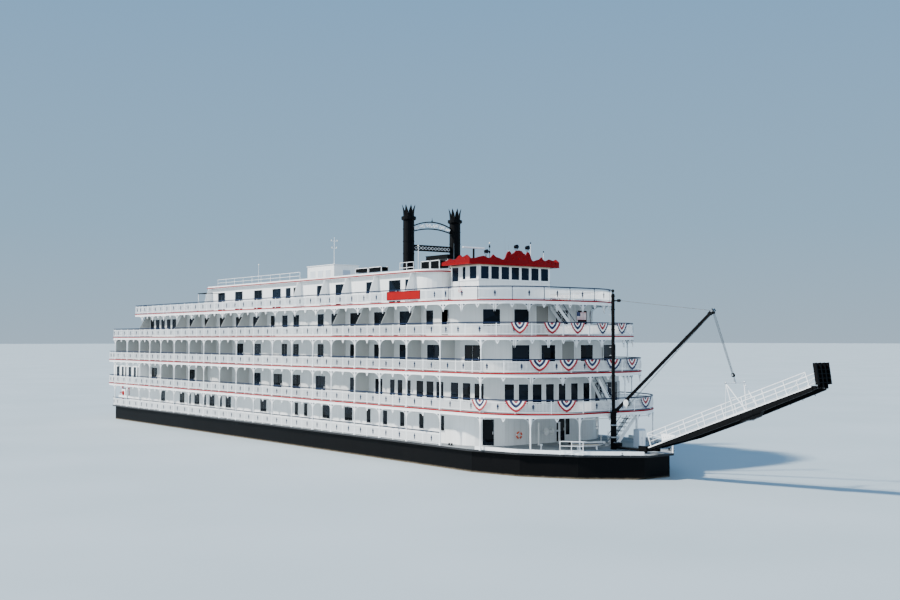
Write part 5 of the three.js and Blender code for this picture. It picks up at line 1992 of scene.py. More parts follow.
@dataclass
class Sternwheel:
    """Ironwork of the paddle wheel, its bearings, and the rudders' stiffeners.

    Attributes:
        x: X of the shaft.
        z: its height.
        arms: number of arms and boards.
        wheels: Y of the three rims.
        timber: distance of the wheel timbers from the middle line.
        rudders: Y of each rudder.
    """

    x: float = -4800.0
    z: float = 500.0
    arms: int = 12
    wheels: Point3 = (-370.0, 0.0, 370.0)
    timber: float = 455.0
    rudders: tuple[tuple[str, float], ...] = (
        ("starboard_rudder", -450.0), ("centre_rudder", 0.0), ("port_rudder", 450.0))

    def build(self) -> None:
        """Makes the wheel's ironwork, the bearings and the rudders' fittings."""
        dress(RED, "sternwheel")
        dress(WHITE, "starboard_wheel_timber", "port_wheel_timber")
        self.build_ironwork()
        self.build_bearings()
        for name, y in self.rudders:
            dress(BLACK, name)
            self.build_rudder(name, y)

    def build_ironwork(self) -> None:
        """Makes hub flanges, board clamps and cross stays, which turn with the wheel."""
        form = Form(WHITE, STEEL, DEEP_RED)
        with form.at(pose(self.x, 0, self.z)):
            for y in self.wheels:
                for side in Side:
                    flange = [(r, y + side * out) for r, out in ((31, 5.9), (58, 5.9), (58, 8.4), (31, 9.4))]
                    form.turned(flange, (0, 0, 0), 0, 24, "Y")
                    for k in range(self.arms):
                        angle = math.tau * (k + 0.5) / self.arms
                        x, z = 52 * math.cos(angle), 52 * math.sin(angle)
                        form.tube([(x, y + side * 5.8, z), (x, y + side * 11.0, z)], 3.0, 1, 6)
            for k in range(self.arms):
                with form.at(pose(0, 0, 0, math.tau * k / self.arms, "Y")):
                    self.add_arm(form)
        form.place("sternwheel_ironwork", "sternwheel", "red_paint")

    def add_arm(self, form: Form) -> None:
        """Adds the clamps, the crossed stays and the board's face plate of the arm along +x.

        Args:
            form: takes steel as finish 1 and red as finish 2.
        """
        for y in self.wheels:
            for reach in (318.0, 346.0):
                form.box((reach - 3, y - 12, 5.5), (reach + 3, y + 12, 16.5), 1)
        for y in (-185.0, 185.0):
            for start, end in ((70, 322), (322, 70)):
                form.tube([(start, y - 178, 0), (end, y + 178, 0)], 2.6, 1, 6)
        form.box((306, -388, 13.6), (360, 388, 14.6), 2)

    def build_bearings(self) -> None:
        """Makes the bearing caps and straps on the timbers, with their bolts."""
        form = Form(BLACK, STEEL)
        x, top = self.x, 558.0
        for side in Side:
            y = side * self.timber
            form.box((x - 54, y - 24, 552.2), (x + 54, y + 24, top), 0)
            for dx in (-44, 44):
                for dy in (-14, 14):
                    form.turned([(5, 0), (5, 5), (3, 6), (3, 9)], (x + dx, y + dy, top), 1, 6)
            for strap, low in ((-4300.0, 400.0), (-4500.0, 436.0), (-4650.0, 436.0)):
                form.box((strap - 5, y - 27.5, low), (strap + 5, y + 27.5, 472.5), 0)
            form.turned([(4, 0), (4, 4), (2.5, 5), (2.5, 10)], (x, y, top), 1, 8)
        form.place("wheel_bearings", "boat", "black_paint")

    def build_rudder(self, name: str, y: float) -> None:
        """Makes a rudder's ribs and zinc anodes.

        Args:
            name: the rudder's node and body.
            y: its place across.
        """
        form = Form(BLACK, STEEL)
        with form.at(pose(0, y, 0)):
            for z in (35.0, 65.0, 95.0):
                form.box((-4206, -9.5, z - 2), (-3999, 9.5, z + 2), 0)
            for side in Side:
                form.side_box(side, (-4150, -4110), (6.8, 12), (44, 56), 1)
        form.place(f"{name}_ribs", name, "black_paint")


@dataclass
class Derrick:
    """Sleeve, bands, winch drum and wires of the turning derrick, and the tackle that replaces its falls.

    Attributes:
        mast_x: X of the mast.
        arm: X and height of the masthead arm's end.
        pin: X and height of the boom's pin.
        tip: X and height of the boom's tip.
        hook: X and height of the hook.
        bands: heights of the mast's bands.
    """

    mast_x: float = 3582.0
    arm: Point2 = (3648.0, 1485.0)
    pin: Point2 = (3614.0, 677.0)
    tip: Point2 = (4520.0, 1393.0)
    hook: Point2 = (4690.0, 950.0)
    bands: tuple[float, ...] = (760.0, 930.0, 1100.0, 1270.0, 1420.0, 1520.0)

    def build(self) -> None:
        """Makes the mast's fittings, the topping lift, the boom's gear and the falls."""
        dress(BLACK, "mast", "boom")
        self.build_mast()
        self.build_lift()
        self.build_boom()
        self.build_falls()

    def build_mast(self) -> None:
        """Makes the sleeve round the mast's foot, its bands, ladder rungs, masthead arm and foot winch."""
        form = Form(BLACK, STEEL)
        x, top = self.mast_x, self.arm[1]
        foot = (x, 0, 0)
        form.turned([(25, 391.5), (25, 396), (22, 398), (22, 650), (26, 652), (26, 662), (14, 664)],
                    foot, 0, 24)
        for z in (470.0, 560.0):
            form.turned([(22, z), (23.6, z + 1), (23.6, z + 9), (22, z + 10)], foot, 1, 24)
        for z in self.bands:
            form.turned([(12.6, z - 5), (15.4, z - 4), (15.4, z + 4), (12.6, z + 5)], foot, 0, 16)
        for i in range(12):
            z = 720.0 + i * 60
            form.tube([(x - 11, -9, z), (x - 30, -9, z), (x - 30, 9, z), (x - 11, 9, z)], 1.4, 1, 5)
        form.turned([(3, 70), (7, 72), (7, 80), (3, 83)], (x, 0, top), 0, 10, "X")
        form.box((3632, -7, top - 11), (3652, 7, top + 11), 0)
        form.box((3585, -30, 410), (3640, 30, 436), 0)
        drum = [(15, -24), (15, -21), (9, -20), (9, 20), (15, 21), (15, 24)]
        form.turned(drum, (3612, 0, 428), 1, 14, "Y")
        form.place("mast_fittings", "derrick", "black_paint")

    def build_lift(self) -> None:
        """Makes the topping lift, whose wires stretch from the masthead arm to the boom's tip."""
        form = Form(WIRE)
        start, end = Vector((self.arm[0], 0.0, self.arm[1])), Vector((self.tip[0], 0.0, self.tip[1]))
        for y in (-4.0, 4.0):
            form.tube([tuple(start.lerp(end, k / 24) + Vector((0, y, 0))) for k in range(25)], 1.5, 0, 6)
        lift = form.place("topping_lift", None, "black_paint")
        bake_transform(lift)

    def build_boom(self) -> None:
        """Makes the pale winch drum, the wires under the boom, its bands and its sheaves."""
        form = Form(GREY_PLASTIC, BLACK, WIRE, STEEL)
        run, rise = self.tip[0] - self.pin[0], self.tip[1] - self.pin[1]
        length = math.hypot(run, rise)
        winch = (120, 0, -22)
        with form.at(pose(self.pin[0], 0, self.pin[1], -math.atan2(rise, run), "Y")):
            drum = [(8, -17), (25, -16.5), (25, -14), (20.8, -13.6), (20.8, 13.6), (25, 14),
                    (25, 16.5), (8, 17)]
            form.turned(drum, winch, 0, 24, "Y")
            for k in range(-4, 5):
                y = 3.0 * k
                form.turned([(20.6, y - 1.4), (21.8, y), (20.6, y + 1.4)], winch, 2, 20, "Y")
            form.box((84, 9, -40), (134, 30, -8), 0)
            form.turned([(11, 10), (11, 30), (8, 33)], (109, 0, -24), 0, 14, "Y")
            for y in (-5.0, 5.0):
                form.tube([(128, y, -43), (length * 0.5, y * 0.8, -24), (length - 4, y * 0.6, -7)], 1.3, 2, 5)
            for k in range(1, 8):
                x = length * k / 8
                form.box((x - 4, -9.4, -10.4), (x + 4, 9.4, 10.4), 1)
            strap = [(60, -5), (length - 60, -2.5), (length - 60, 2.5), (60, 5)]
            for side in Side:
                form.turned([(9, side * 15.4 - 1.2), (9, side * 15.4 + 1.2)], (length, 0, 0), 3, 14, "Y")
                form.prism(strap, Plane.SIDE, side * 8.2, side * 10.4, 1)
        form.place("boom_gear", "boom", "black_paint")

    def build_falls(self) -> None:
        """Makes the sheave, the wires, the lower block and the hook."""
        form = Form(BLACK, WIRE, STEEL)
        across, down = self.hook[0] - self.tip[0], self.tip[1] - self.hook[1]
        drop = math.hypot(across, down)
        with form.at(pose(self.tip[0], 0, self.tip[1], -math.atan2(across, down), "Y")):
            form.turned([(5, -5.6), (11, -5.6), (9, -1.6), (9, 1.6), (11, 5.6), (5, 5.6)], (0, 0, 0),
                        2, 20, "Y")
            for side in Side:
                cheek = [(-8, 6), (8, 6), (8, -20), (0, -26), (-8, -20)]
                form.prism(cheek, Plane.SIDE, side * 6.0, side * 7.6, 0)
                for x in (-6.0, 6.0):
                    form.tube([(x, side * 3.4, -4), (x * 0.7, side * 3.4, 20 - drop)], 1.2, 1, 5)
            with form.at(pose(0, 0, -drop)):
                block = [(-9, 18), (-5, 25), (5, 25), (9, 18), (10, 8), (4, -1), (-4, -1), (-10, 8)]
                for y in (-8.0, -1.0, 5.0):
                    form.prism(block, Plane.SIDE, y, y + 3.0, 0)
                sheave = [(3, -9), (7, -9), (7, -7), (6, -6), (6, 6), (7, 7), (7, 9), (3, 9)]
                form.turned(sheave, (0, 0, 12), 2, 16, "Y")
                bend = [(0, 1), (0, -3), (4.4, -6), (4.6, -10), (0, -12.6), (-4.6, -10), (-4.4, -7)]
                form.tube([(x, 0, z) for x, z in bend], 1.9, 2, 7, 1.1)
        form.place("falls_tackle", "falls", "black_paint", ["falls"])


@dataclass
class LandingStage:
    """Railings, hanging frame, deck covering and small fittings of the landing stage.

    Attributes:
        pin: X and height of the heel pin.
        tilt: its slope at rest, in degrees.
        length: length of its deck.
        rail: distance of a railing from the middle line.
        posts: posts in a railing.
        first: place of the first post.
        pitch: spacing of the posts.
        height: height of a railing.
        crown: place and height of the hanging frame's head.
        fold: place, height and droop in degrees of the folding end's hinge.
    """

    pin: Point2 = (3960.0, 425.0)
    tilt: float = 19.5
    length: float = 1462.0
    rail: float = 69.0
    posts: int = 9
    first: float = 58.0
    pitch: float = 173.5
    height: float = 96.0
    crown: Point2 = (860.0, 210.0)
    fold: Point3 = (1478.0, -16.0, 11.0)

    @property
    def spot(self) -> Matrix:
        """Local frame of the stage: x runs out along its deck from the pin."""
        return pose(self.pin[0], 0, self.pin[1], -math.radians(self.tilt), "Y")

    def build(self) -> None:
        """Makes the railings and frame, the deck covering and the folding end's fittings."""
        dress(BLACK, "stage", "stage_apron")
        self.build_rails()
        self.build_deck()
        self.build_apron()

    def build_rails(self) -> None:
        """Makes both railings and the frame that the hook lifts."""
        form = Form(WHITE, STEEL)
        crown, top = self.crown
        with form.at(self.spot):
            for side in Side:
                self.add_rail(form, side * self.rail)
                for foot in (833.0, 932.0):
                    form.tube([(foot, side * 66, 5), (crown, side * 94, top - 2)], 4.0, 0, 8)
                    form.side_box(side, (foot - 9, foot + 9), (61, 71), (0.3, 6), 0)
                form.side_box(side, (745, 945), (59, 72.6), (0.3, 3.6), 0)
                form.tube([(846, side * 79, 110), (899, side * 79, 104)], 2.0, 0, 6)
            form.tube([(756, -66, 4), (crown - 2, -94, top - 4)], 1.8, 0, 6)
            form.tube([(crown, -98, top), (crown, 98, top)], 4.4, 0, 10)
            for y in (-96.0, 96.0):
                form.turned([(6, -3), (7.5, -2), (7.5, 2), (6, 3)], (crown, y, top), 1, 12, "Y")
            lug = [(852, 206), (868, 206), (867, 236), (863, 243), (859, 236)]
            form.prism(lug, Plane.SIDE, -2.2, 2.2, 1, [[(860, 228), (866, 228), (863, 238)]])
        form.place("stage_railings", "stage", "white_paint", ["stage_rails"])

    def add_rail(self, form: Form, y: float) -> None:
        """Adds one pipe railing with its posts and end struts.

        Args:
            form: takes white as finish 0.
            y: its place across the stage.
        """
        last = self.first + self.pitch * (self.posts - 1)
        for i in range(self.posts):
            x = self.first + i * self.pitch
            form.box((x - 2.6, y - 2.6, 0.3), (x + 2.6, y + 2.6, self.height - 2), 0)
            form.box((x - 7, y - 4, 0.3), (x + 7, y + 4, 2.5), 0)
        for z, radius in ((self.height - 3, 3.0), (64.0, 1.8), (34.0, 1.8)):
            form.tube([(self.first - 2, y, z), (last + 2, y, z)], radius, 0, 8)
        for foot, head in ((self.first, self.first + self.pitch), (last, last - self.pitch)):
            form.tube([(foot, y, self.height - 5), (head, y, 3)], 1.8, 0, 6)

    def build_deck(self) -> None:
        """Makes the non-skid covering with its cleats, the pale edges, and the boxes at its sides."""
        form = Form(GREY_DECK, WHITE, BLACK, STEEL)
        with form.at(self.spot):
            form.box((34, -61, -0.5), (self.length - 4, 61, 1.2), 0)
            for i in range(30):
                x = 60 + i * 47.0
                form.box((x - 1.8, -58, 1.0), (x + 1.8, 58, 2.6), 0)
            edge = (72.6, 74.4)
            for side in Side:
                form.side_box(side, (34, self.length - 2), edge, (-6.5, 0.6), 1)
                for i in range(14):
                    x = 110 + i * 97.0
                    low = -14 - 28 * min(1.0, (x - 30) / 370)
                    form.side_box(side, (x - 2.4, x + 2.4), edge, (low, -6.5), 2)
            cover = [(178, 0.4), (304, 0.4), (304, 12), (204, 50), (188, 50)]
            form.prism(cover, Plane.SIDE, -79.0, -72.8, 1)
            for k in range(4):
                form.turned([(2.4, -0.8), (2.4, 0.8)], (200 + k * 22, -79.2, 24 - k * 4), 2, 8, "Y")
            box = [(862, -40), (872, -62), (938, -60), (956, -70), (1018, -66), (1046, -40)]
            form.prism(box, Plane.SIDE, -66.0, -34.0, 2)
            form.tube([(880, -50, -56), (960, -52, -74), (1024, -50, -58)], 2.2, 3, 6)
        form.place("stage_fittings", "stage", "black_paint")

    def build_apron(self) -> None:
        """Makes the folding end's tread plates, hinge straps and stiffeners."""
        form = Form(BLACK, GREY_DECK, STEEL)
        x, z, droop = self.fold
        with form.at(self.spot @ pose(x, 0, z, math.radians(droop), "Y")):
            for k in range(5):
                z = 26 + k * 27.0
                form.box((33.6, -66, z - 2), (36, 66, z + 2), 0)
                form.box((7.6, -64, z - 1.6), (10.2, 64, z + 1.6), 1)
            for y in (-40.0, 40.0):
                form.box((6.2, y - 7, 10), (10.3, y + 7, 60), 2)
                form.turned([(8.6, -8), (8.6, 8)], (0, y, 0), 2, 14, "Y")
        form.place("apron_fittings", "apron", "black_paint")


@dataclass
class Stairs:
    """Open flights with side strings, dark treads and navy handrails.

    Attributes:
        width: breadth over the strings.
        steps: steps in a flight.
        depth: depth of a string.
        thick: thickness of a string.
    """

    width: float = 90.0
    steps: int = 8
    depth: float = 34.0
    thick: float = 4.0

    def build(self) -> None:
        """Makes the three flights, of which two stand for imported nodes."""
        self.build_flight("fore_stair_flight", MAIN_DECK, 620.0, 3420.0, 120.0, 240.0, ["fore_stair"])
        self.build_flight("middle_stair_flight", 660.0, 912.0, 3335.0, 228.0, -178.0)
        self.build_flight("upper_stair_flight", 1227.0, 1462.0, 3010.0, 170.0, -230.0, ["upper_fore_stair"])

    def build_flight(self, name: str, low: float, high: float, x: float, y: float, run: float,
                     replaces: Sequence[str] = ()) -> None:
        """Makes one flight across the boat.

        Args:
            name: the piece's name.
            low: height of the lower deck.
            high: height of the top step.
            x: X of its middle.
            y: Y of its foot.
            run: how far it runs, to port if positive.
            replaces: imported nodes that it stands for.
        """
        form = Form(WHITE, GREY_DECK, NAVY)
        rise, going = (high - low) / self.steps, run / self.steps
        half = self.width / 2
        within, ahead = half - self.thick, math.copysign(1.0, run)
        string = [(y, low + 0.4), (y + ahead * self.depth, low + 0.4), (y + run, high - self.depth),
                  (y + run, high), (y + going, low + rise + 4), (y, low + 14)]
        for side in Side:
            form.prism(string, Plane.END, x + side * within, x + side * half, 0)
            rail = x + side * (half - self.thick / 2)
            for foot, head, radius, finish, sides in ((86, 62, 2.6, 2, 8), (52, 28, 1.6, 0, 6)):
                form.tube([(rail, y + going, low + foot), (rail, y + run, high + head)], radius,
                          finish, sides)
            for share in (0.12, 0.5, 0.97):
                across, foot = y + share * run, low + rise + share * (high - low - rise)
                form.box((rail - 1.8, across - 1.8, foot - 6), (rail + 1.8, across + 1.8, foot + 60), 0)
        for k in range(self.steps):
            near, top = y + k * going, low + (k + 1) * rise
            form.box((x - within, near, top - 3), (x + within, near + 1.15 * going, top), 1)
            form.box((x - within, near, top - 5), (x + within, near + ahead * 1.5, top + 0.4), 0)
        form.place(name, "boat", "white_paint", replaces)


@dataclass
class Foredeck:
    """Tender, lockers, capstan, bollards, pipe rails and small gear on the main deck's bow.

    Attributes:
        deck: height at which the gear stands on the main deck.
        tender: place of the tender's middle, and height of its tubes.
        bollards: X and distance from the middle line of each pair.
        ends: places of the pipe rail's posts.
        coils: places of the coiled ropes.
    """

    deck: float = MAIN_DECK + 0.4
    tender: Point3 = (3465.0, -147.0, 430.0)
    bollards: tuple[Point2, ...] = (
        (3150, 700), (3560, 520), (3905, 262), (2600, 770), (-3000, 795), (-1200, 795), (600, 795))
    ends: tuple[Point2, ...] = ((3624.0, -579.0), (3688.0, -528.0), (3752.0, -477.0))
    coils: tuple[Point2, ...] = ((3700, 420), (3330, -560))

    def build(self) -> None:
        """Makes the tender, the deck machinery and the loose gear."""
        self.build_tender()
        self.build_machinery()
        self.build_gear()

    def build_tender(self) -> None:
        """Makes the small rescue boat on its chocks, across the deck to starboard of the mast."""
        form = Form(GREY_PLASTIC, NAVY, TAN, BLACK, WHITE)
        x, y, level = self.tender
        with form.at(pose(x, y, 0, math.atan2(205, 160))):
            line = [(-124, 26), (-60, 28), (20, 28), (74, 24), (108, 12), (122, 1)]
            for side in Side:
                tube = [(x, side * y, level + (4 if x > 60 else 0)) for x, y in line]
                form.tube(tube, 11.5, 0, 12, 10.0)
                form.turned([(2, -18), (8, -10), (11.5, 0)], (-124, side * 26, level), 3, 12, "X")
                form.tube([(x, y + side * 11.4, z) for x, y, z in tube[:-1]], 3.2, 1, 6)
                form.tube([(x, y + side * 9.6, level - 5.5) for x, y, z in tube[:-2]], 2.2, 2, 6)
            keel = []
            for x, half, low in ((-122, 24, 404), (-40, 26, 400), (50, 24, 403), (100, 10, 416),
                                 (116, 2, 426)):
                keel.append([(x, -half, level - 2), (x, -half * 0.8, low + 8), (x, 0, low),
                             (x, half * 0.8, low + 8), (x, half, level - 2)])
            form.skin(keel, 4)
            form.box((-40, -9, 426), (-14, 9, 443.5), 4)
            form.box((-84, -16, 426), (-62, 16, 439), 3)
            form.box((-134, -6, 408), (-122, 6, 443), 3)
            chock = [(-34, self.deck), (34, self.deck), (30, 410), (8, 402), (-8, 402), (-30, 410)]
            for x in (-80.0, 60.0):
                form.prism(chock, Plane.END, x - 4, x + 4, 4)
        form.place("rescue_boat", "boat", "white_paint")

    def build_machinery(self) -> None:
        """Makes the locker, the capstan, the winch frame, bollards and vents."""
        form = Form(WHITE, PALE, STEEL, BLACK)
        foot = self.deck
        locker = [(-27, foot), (27, foot), (27, 516), (22, 522), (-22, 522), (-27, 516)]
        with form.at(pose(3572, 0, 0)):
            form.prism(locker, Plane.SIDE, 250, 324, 1)
            for y in (256, 289):
                form.box((27, y, 396), (28.6, y + 29, 508), 0)
            form.box((28.4, 280, 448), (31, 283, 462), 2)
        form.turned([(14, foot), (14, 389), (8, 391), (7, 400), (10, 405), (10, 408.5)],
                    (3880, 308, 0), 2, 18)
        for y in (-220.0, -6.0):
            form.turned([(13, foot), (13, 389), (8, 392), (8, 548), (10, 550), (10, 554)],
                        (3000, y, 0), 0, 14)
        form.tube([(3000, -228, 486), (3000, 2, 486)], 6.0, 0, 12)
        drum = [(30, -30), (30, -26), (16, -25), (16, 25), (30, 26), (30, 30)]
        form.turned(drum, (3000, -113, 486), 0, 20, "Y")
        bollard = [(9, foot), (9, 387), (6, 388), (6, 398), (8, 400), (8, 403)]
        for x, y in self.bollards:
            for side in Side:
                for dx in (-16, 16):
                    form.turned(bollard, (x + dx, side * y, 0), 3, 12)
                form.side_box(side, (x - 27, x + 27), (y - 11, y + 11), (foot - 0.1, 387.2), 3)
        for x, y, top in ((3240, 420, 430), (3260, -430, 426), (3120, 330, 440)):
            vent = [(9, foot), (9, 388), (5, 390), (5, top - 14), (11, top - 12), (11, top - 3), (6, top)]
            form.turned(vent, (x, y, 0), 0, 14)
        form.place("foredeck_machinery", "boat", "white_paint")

    def build_gear(self) -> None:
        """Makes pipe rails, the rolled fender, the life ring and ropes."""
        form = Form(WHITE, ORANGE_PLASTIC, GREY_PLASTIC, WIRE, BLACK)
        for x, y in self.ends:
            form.tube([(x, y, self.deck), (x, y, 480)], 2.6, 0, 8)
            form.turned([(6, 0), (6, 2)], (x, y, self.deck), 0, 10)
        for z, radius in ((478.0, 2.6), (446.0, 1.8), (415.0, 1.8)):
            form.tube([(*self.ends[0], z), (*self.ends[-1], z)], radius, 0, 8)
        form.tube([(*DECKS[0].edge.spot(-304 + 994 * k / 24, 26)[:2], 612.0) for k in range(25)], 3.2, 0, 8)
        roll = (3470, -60, 0)
        form.turned([(3, 528), (9, 531), (10, 560), (9.4, 600), (10, 634), (4, 638)], roll, 2, 14)
        for z in (552.0, 612.0):
            form.turned([(10, z - 2), (11, z), (10, z + 2)], roll, 4, 14)
        add_life_ring(form, pose(2908, -345, 462, math.pi / 2), 30.0)
        rope = 3.0
        bends = [math.tau * j / 6 for j in range(6)]
        for x, y in self.coils:
            for k in range(3):
                reach, level = 24 - 5 * k, 389 + 5 * k
                rings = []
                for angle in (math.tau * i / 20 for i in range(20)):
                    out = [reach + rope * math.cos(b) for b in bends]
                    rings.append([(x + r * math.cos(angle), y + r * math.sin(angle),
                                   level + rope * math.sin(b))
                                  for r, b in zip(out, bends)])
                form.skin(rings, 3, closed=True)
        form.place("foredeck_gear", "boat", "white_paint")


def add_life_ring(form: Form, spot: Matrix, radius: float) -> None:
    """Adds a life ring in orange with four white bands, with -y pointing out.

    Args:
        form: takes white as finish 0 and orange as finish 1.
        spot: its middle and the way it faces.
        radius: its outer radius.
    """
    thick = radius * 0.21
    with form.at(spot):
        for quarter in range(4):
            for start, end, swell, mark in ((0, 70, 1.0, 1), (70, 90, 1.06, 0)):
                rings = []
                for k in range(6):
                    angle = math.radians(90 * quarter + start + (end - start) * k / 5)
                    ring = []
                    for j in range(8):
                        bend = math.tau * j / 8
                        reach = radius - thick + swell * thick * math.cos(bend)
                        depth = -thick + swell * thick * 0.9 * math.sin(bend)
                        ring.append((reach * math.cos(angle), depth, reach * math.sin(angle)))
                    rings.append(ring)
                form.skin(rings, mark)


@dataclass
class RoofGear:
    """Rails, boxes, light masts and the small deckhouse's fittings on the top roof, and the awning frame aft.

    Attributes:
        roof: height at which the gear stands on the roof.
        rails: two ends, Y, height of the two bars and number of posts of each pipe rail.
        cases: X, size along the boat, two ends across, foot and head of each louvred case.
        masts: places of the small light masts.
        vents: places of the vents and height of their necks.
        house: X of the two ends and half breadth of the deckhouse's roof.
        light: place and height of the light mast on it.
    """

    roof: float = 1766.3
    rails: tuple[tuple[float, ...], ...] = (
        (1286, 1493, -330, 1876, 1830, 3), (-2003, -188, -500, 1857, 1821, 10),
        (-2003, -188, 500, 1857, 1821, 10))
    cases: tuple[tuple[float, ...], ...] = (
        (1768.0, 128, -452, -348, 1792, 1856), (1905.0, 128, -452, -348, 1792, 1856),
        (724.0, 208, -440, -360, 1809, 1848), (945.0, 208, -440, -360, 1809, 1848))
    masts: tuple[Point2, ...] = ((1800, -500), (1800, 500), (-1200, -420), (-1200, 420))
    vents: tuple[Point3, ...] = (
        (-1700, -250, 30), (-1500, 260, 36), (300, 0, 40), (760, 90, 30), (-900, 120, 44))
    house: Point3 = (-658.0, -122.0, 153.0)
    light: Point3 = (-152.0, -130.0, 2222.0)

    def build(self) -> None:
        """Makes everything that stands on the top roof, and the awning frame aft."""
        form = Form(WHITE, BLACK, OPAL, PALE)
        for start, end, y, high, low, posts in self.rails:
            for z in (low, high):
                form.tube([(start, y, z), (end, y, z)], 2.6, 0, 6)
            for k in range(posts):
                x = start + (end - start) * k / (posts - 1)
                form.tube([(x, y, self.roof), (x, y, high)], 2.4, 0, 6)
                form.turned([(5, 0), (5, 2)], (x, y, self.roof), 0, 8)
        self.add_slab(form, (1670, 1982), (-330, -190), (1880, 1912))
        for x, long, near, far, low, high in self.cases:
            self.add_louvres(form, (x, x + long), (near, far), (low, high))
        for x, y in self.masts:
            form.turned([(6, 0), (6, 3), (2.4, 6), (1.8, 218)], (x, y, self.roof), 0, 8)
            form.turned([(3, 216), (7, 219), (7, 226), (2, 229)], (x, y, self.roof), 2, 10)
        for x, y, z in self.vents:
            vent = [(16, 0), (16, 4), (11, 6), (11, z), (19, z + 3), (19, z + 9), (5, z + 16)]
            form.turned(vent, (x, y, self.roof), 0, 16)
        self.add_house(form)
        form.place("roof_gear", "boat", "white_paint")
        self.build_awning()

    def build_awning(self) -> None:
        """Makes the open frame on the deck aft of the top deckhouse."""
        form = Form(BLACK, WHITE)
        half, floor = 700.0, 1502.2
        for side in Side:
            y = side * half
            form.box((-2080, y - 5, 1696), (-1867, y + 5, 1706), 0)
            for x in (-2070.0, -1877.0):
                form.tube([(x, y, floor), (x, y, 1697)], 3.4, 1, 8)
                form.turned([(7, 0), (7, 3)], (x, y, floor), 1, 10)
        for x in (-2075.0, -1877.0):
            form.tube([(x, -half, 1701), (x, half, 1701)], 3.2, 0, 8)
        form.place("awning_frame", "boat", "black_paint")

    def add_slab(self, form: Form, x: Point2, y: Point2, z: Point2) -> None:
        """Adds a dark panel with a rim at its foot and head, on four legs.

        Args:
            form: takes white as finish 0 and black as finish 1.
            x: its two ends.
            y: its two sides.
            z: its foot and its head.
        """
        form.box((x[0] + 3, y[0] + 3, z[0]), (x[1] - 3, y[1] - 3, z[1]), 1)
        for low, high in ((z[0] - 2, z[0] + 3), (z[1] - 3, z[1] + 1)):
            form.box((x[0], y[0], low), (x[1], y[1], high), 1)
        for a in (x[0] + 12, x[1] - 12):
            for b in (y[0] + 12, y[1] - 12):
                form.tube([(a, b, self.roof), (a, b, z[0])], 3.0, 0, 6)

    def add_louvres(self, form: Form, x: Point2, y: Point2, z: Point2) -> None:
        """Adds a dark louvred case in a white frame on legs.

        Args:
            form: takes white as finish 0 and black as finish 1.
            x: its two ends.
            y: its two sides.
            z: its foot and its head.
        """
        (x0, x1), (y0, y1), (low, high) = x, y, z
        form.box((x0 + 4, y0 + 4, low + 2), (x1 - 4, y1 - 4, high - 2), 1)
        count = max(3, int((high - low) / 9))
        for k in range(count):
            level = low + (k + 0.5) * (high - low) / count
            form.box((x0 + 2, y0 + 1, level - 1.2), (x1 - 2, y1 - 1, level + 1.2), 1)
        for b in (y0, y1 - 5):
            for a in (x0, x1 - 5):
                form.box((a, b, self.roof), (a + 5, b + 5, high + 2), 0)
            form.box((x0, b, high - 3), (x1, b + 5, high + 2), 0)

    def add_house(self, form: Form) -> None:
        """Adds the louvres, door, roof edge and light mast of the deckhouse on the roof.

        Args:
            form: takes white as finish 0, lamp glass as finish 2 and pale blue as finish 3.
        """
        for side in Side:
            for x in (-590.0, -440.0, -290.0):
                form.side_box(side, (x, x + 96), (145, 148), (1800, 1900), 0)
                for k in range(9):
                    form.side_box(side, (x + 5, x + 91), (147, 149.6), (1808 + k * 10, 1812 + k * 10), 3)
        start, end, half = self.house
        form.box((start, -half, 1944.6), (end, half, 1950), 0)
        form.box((-130.4, -50, 1768), (-127, 50, 1900), 0)
        form.box((-128, -44, 1772), (-126, 44, 1894), 3)
        x, middle, top = self.light
        form.turned([(7, 1949), (7, 1954), (3.2, 1958), (2.2, top)], (x, middle, 0), 0, 8)
        for z, reach in ((2180.0, 34.0), (2110.0, 26.0)):
            form.tube([(x, middle - reach, z), (x, middle + reach, z)], 2.0, 0, 6)
            for y in (middle - reach, middle + reach):
                form.turned([(3, 0), (5, 3), (5, 11), (2, 14)], (x, y, z), 2, 10)


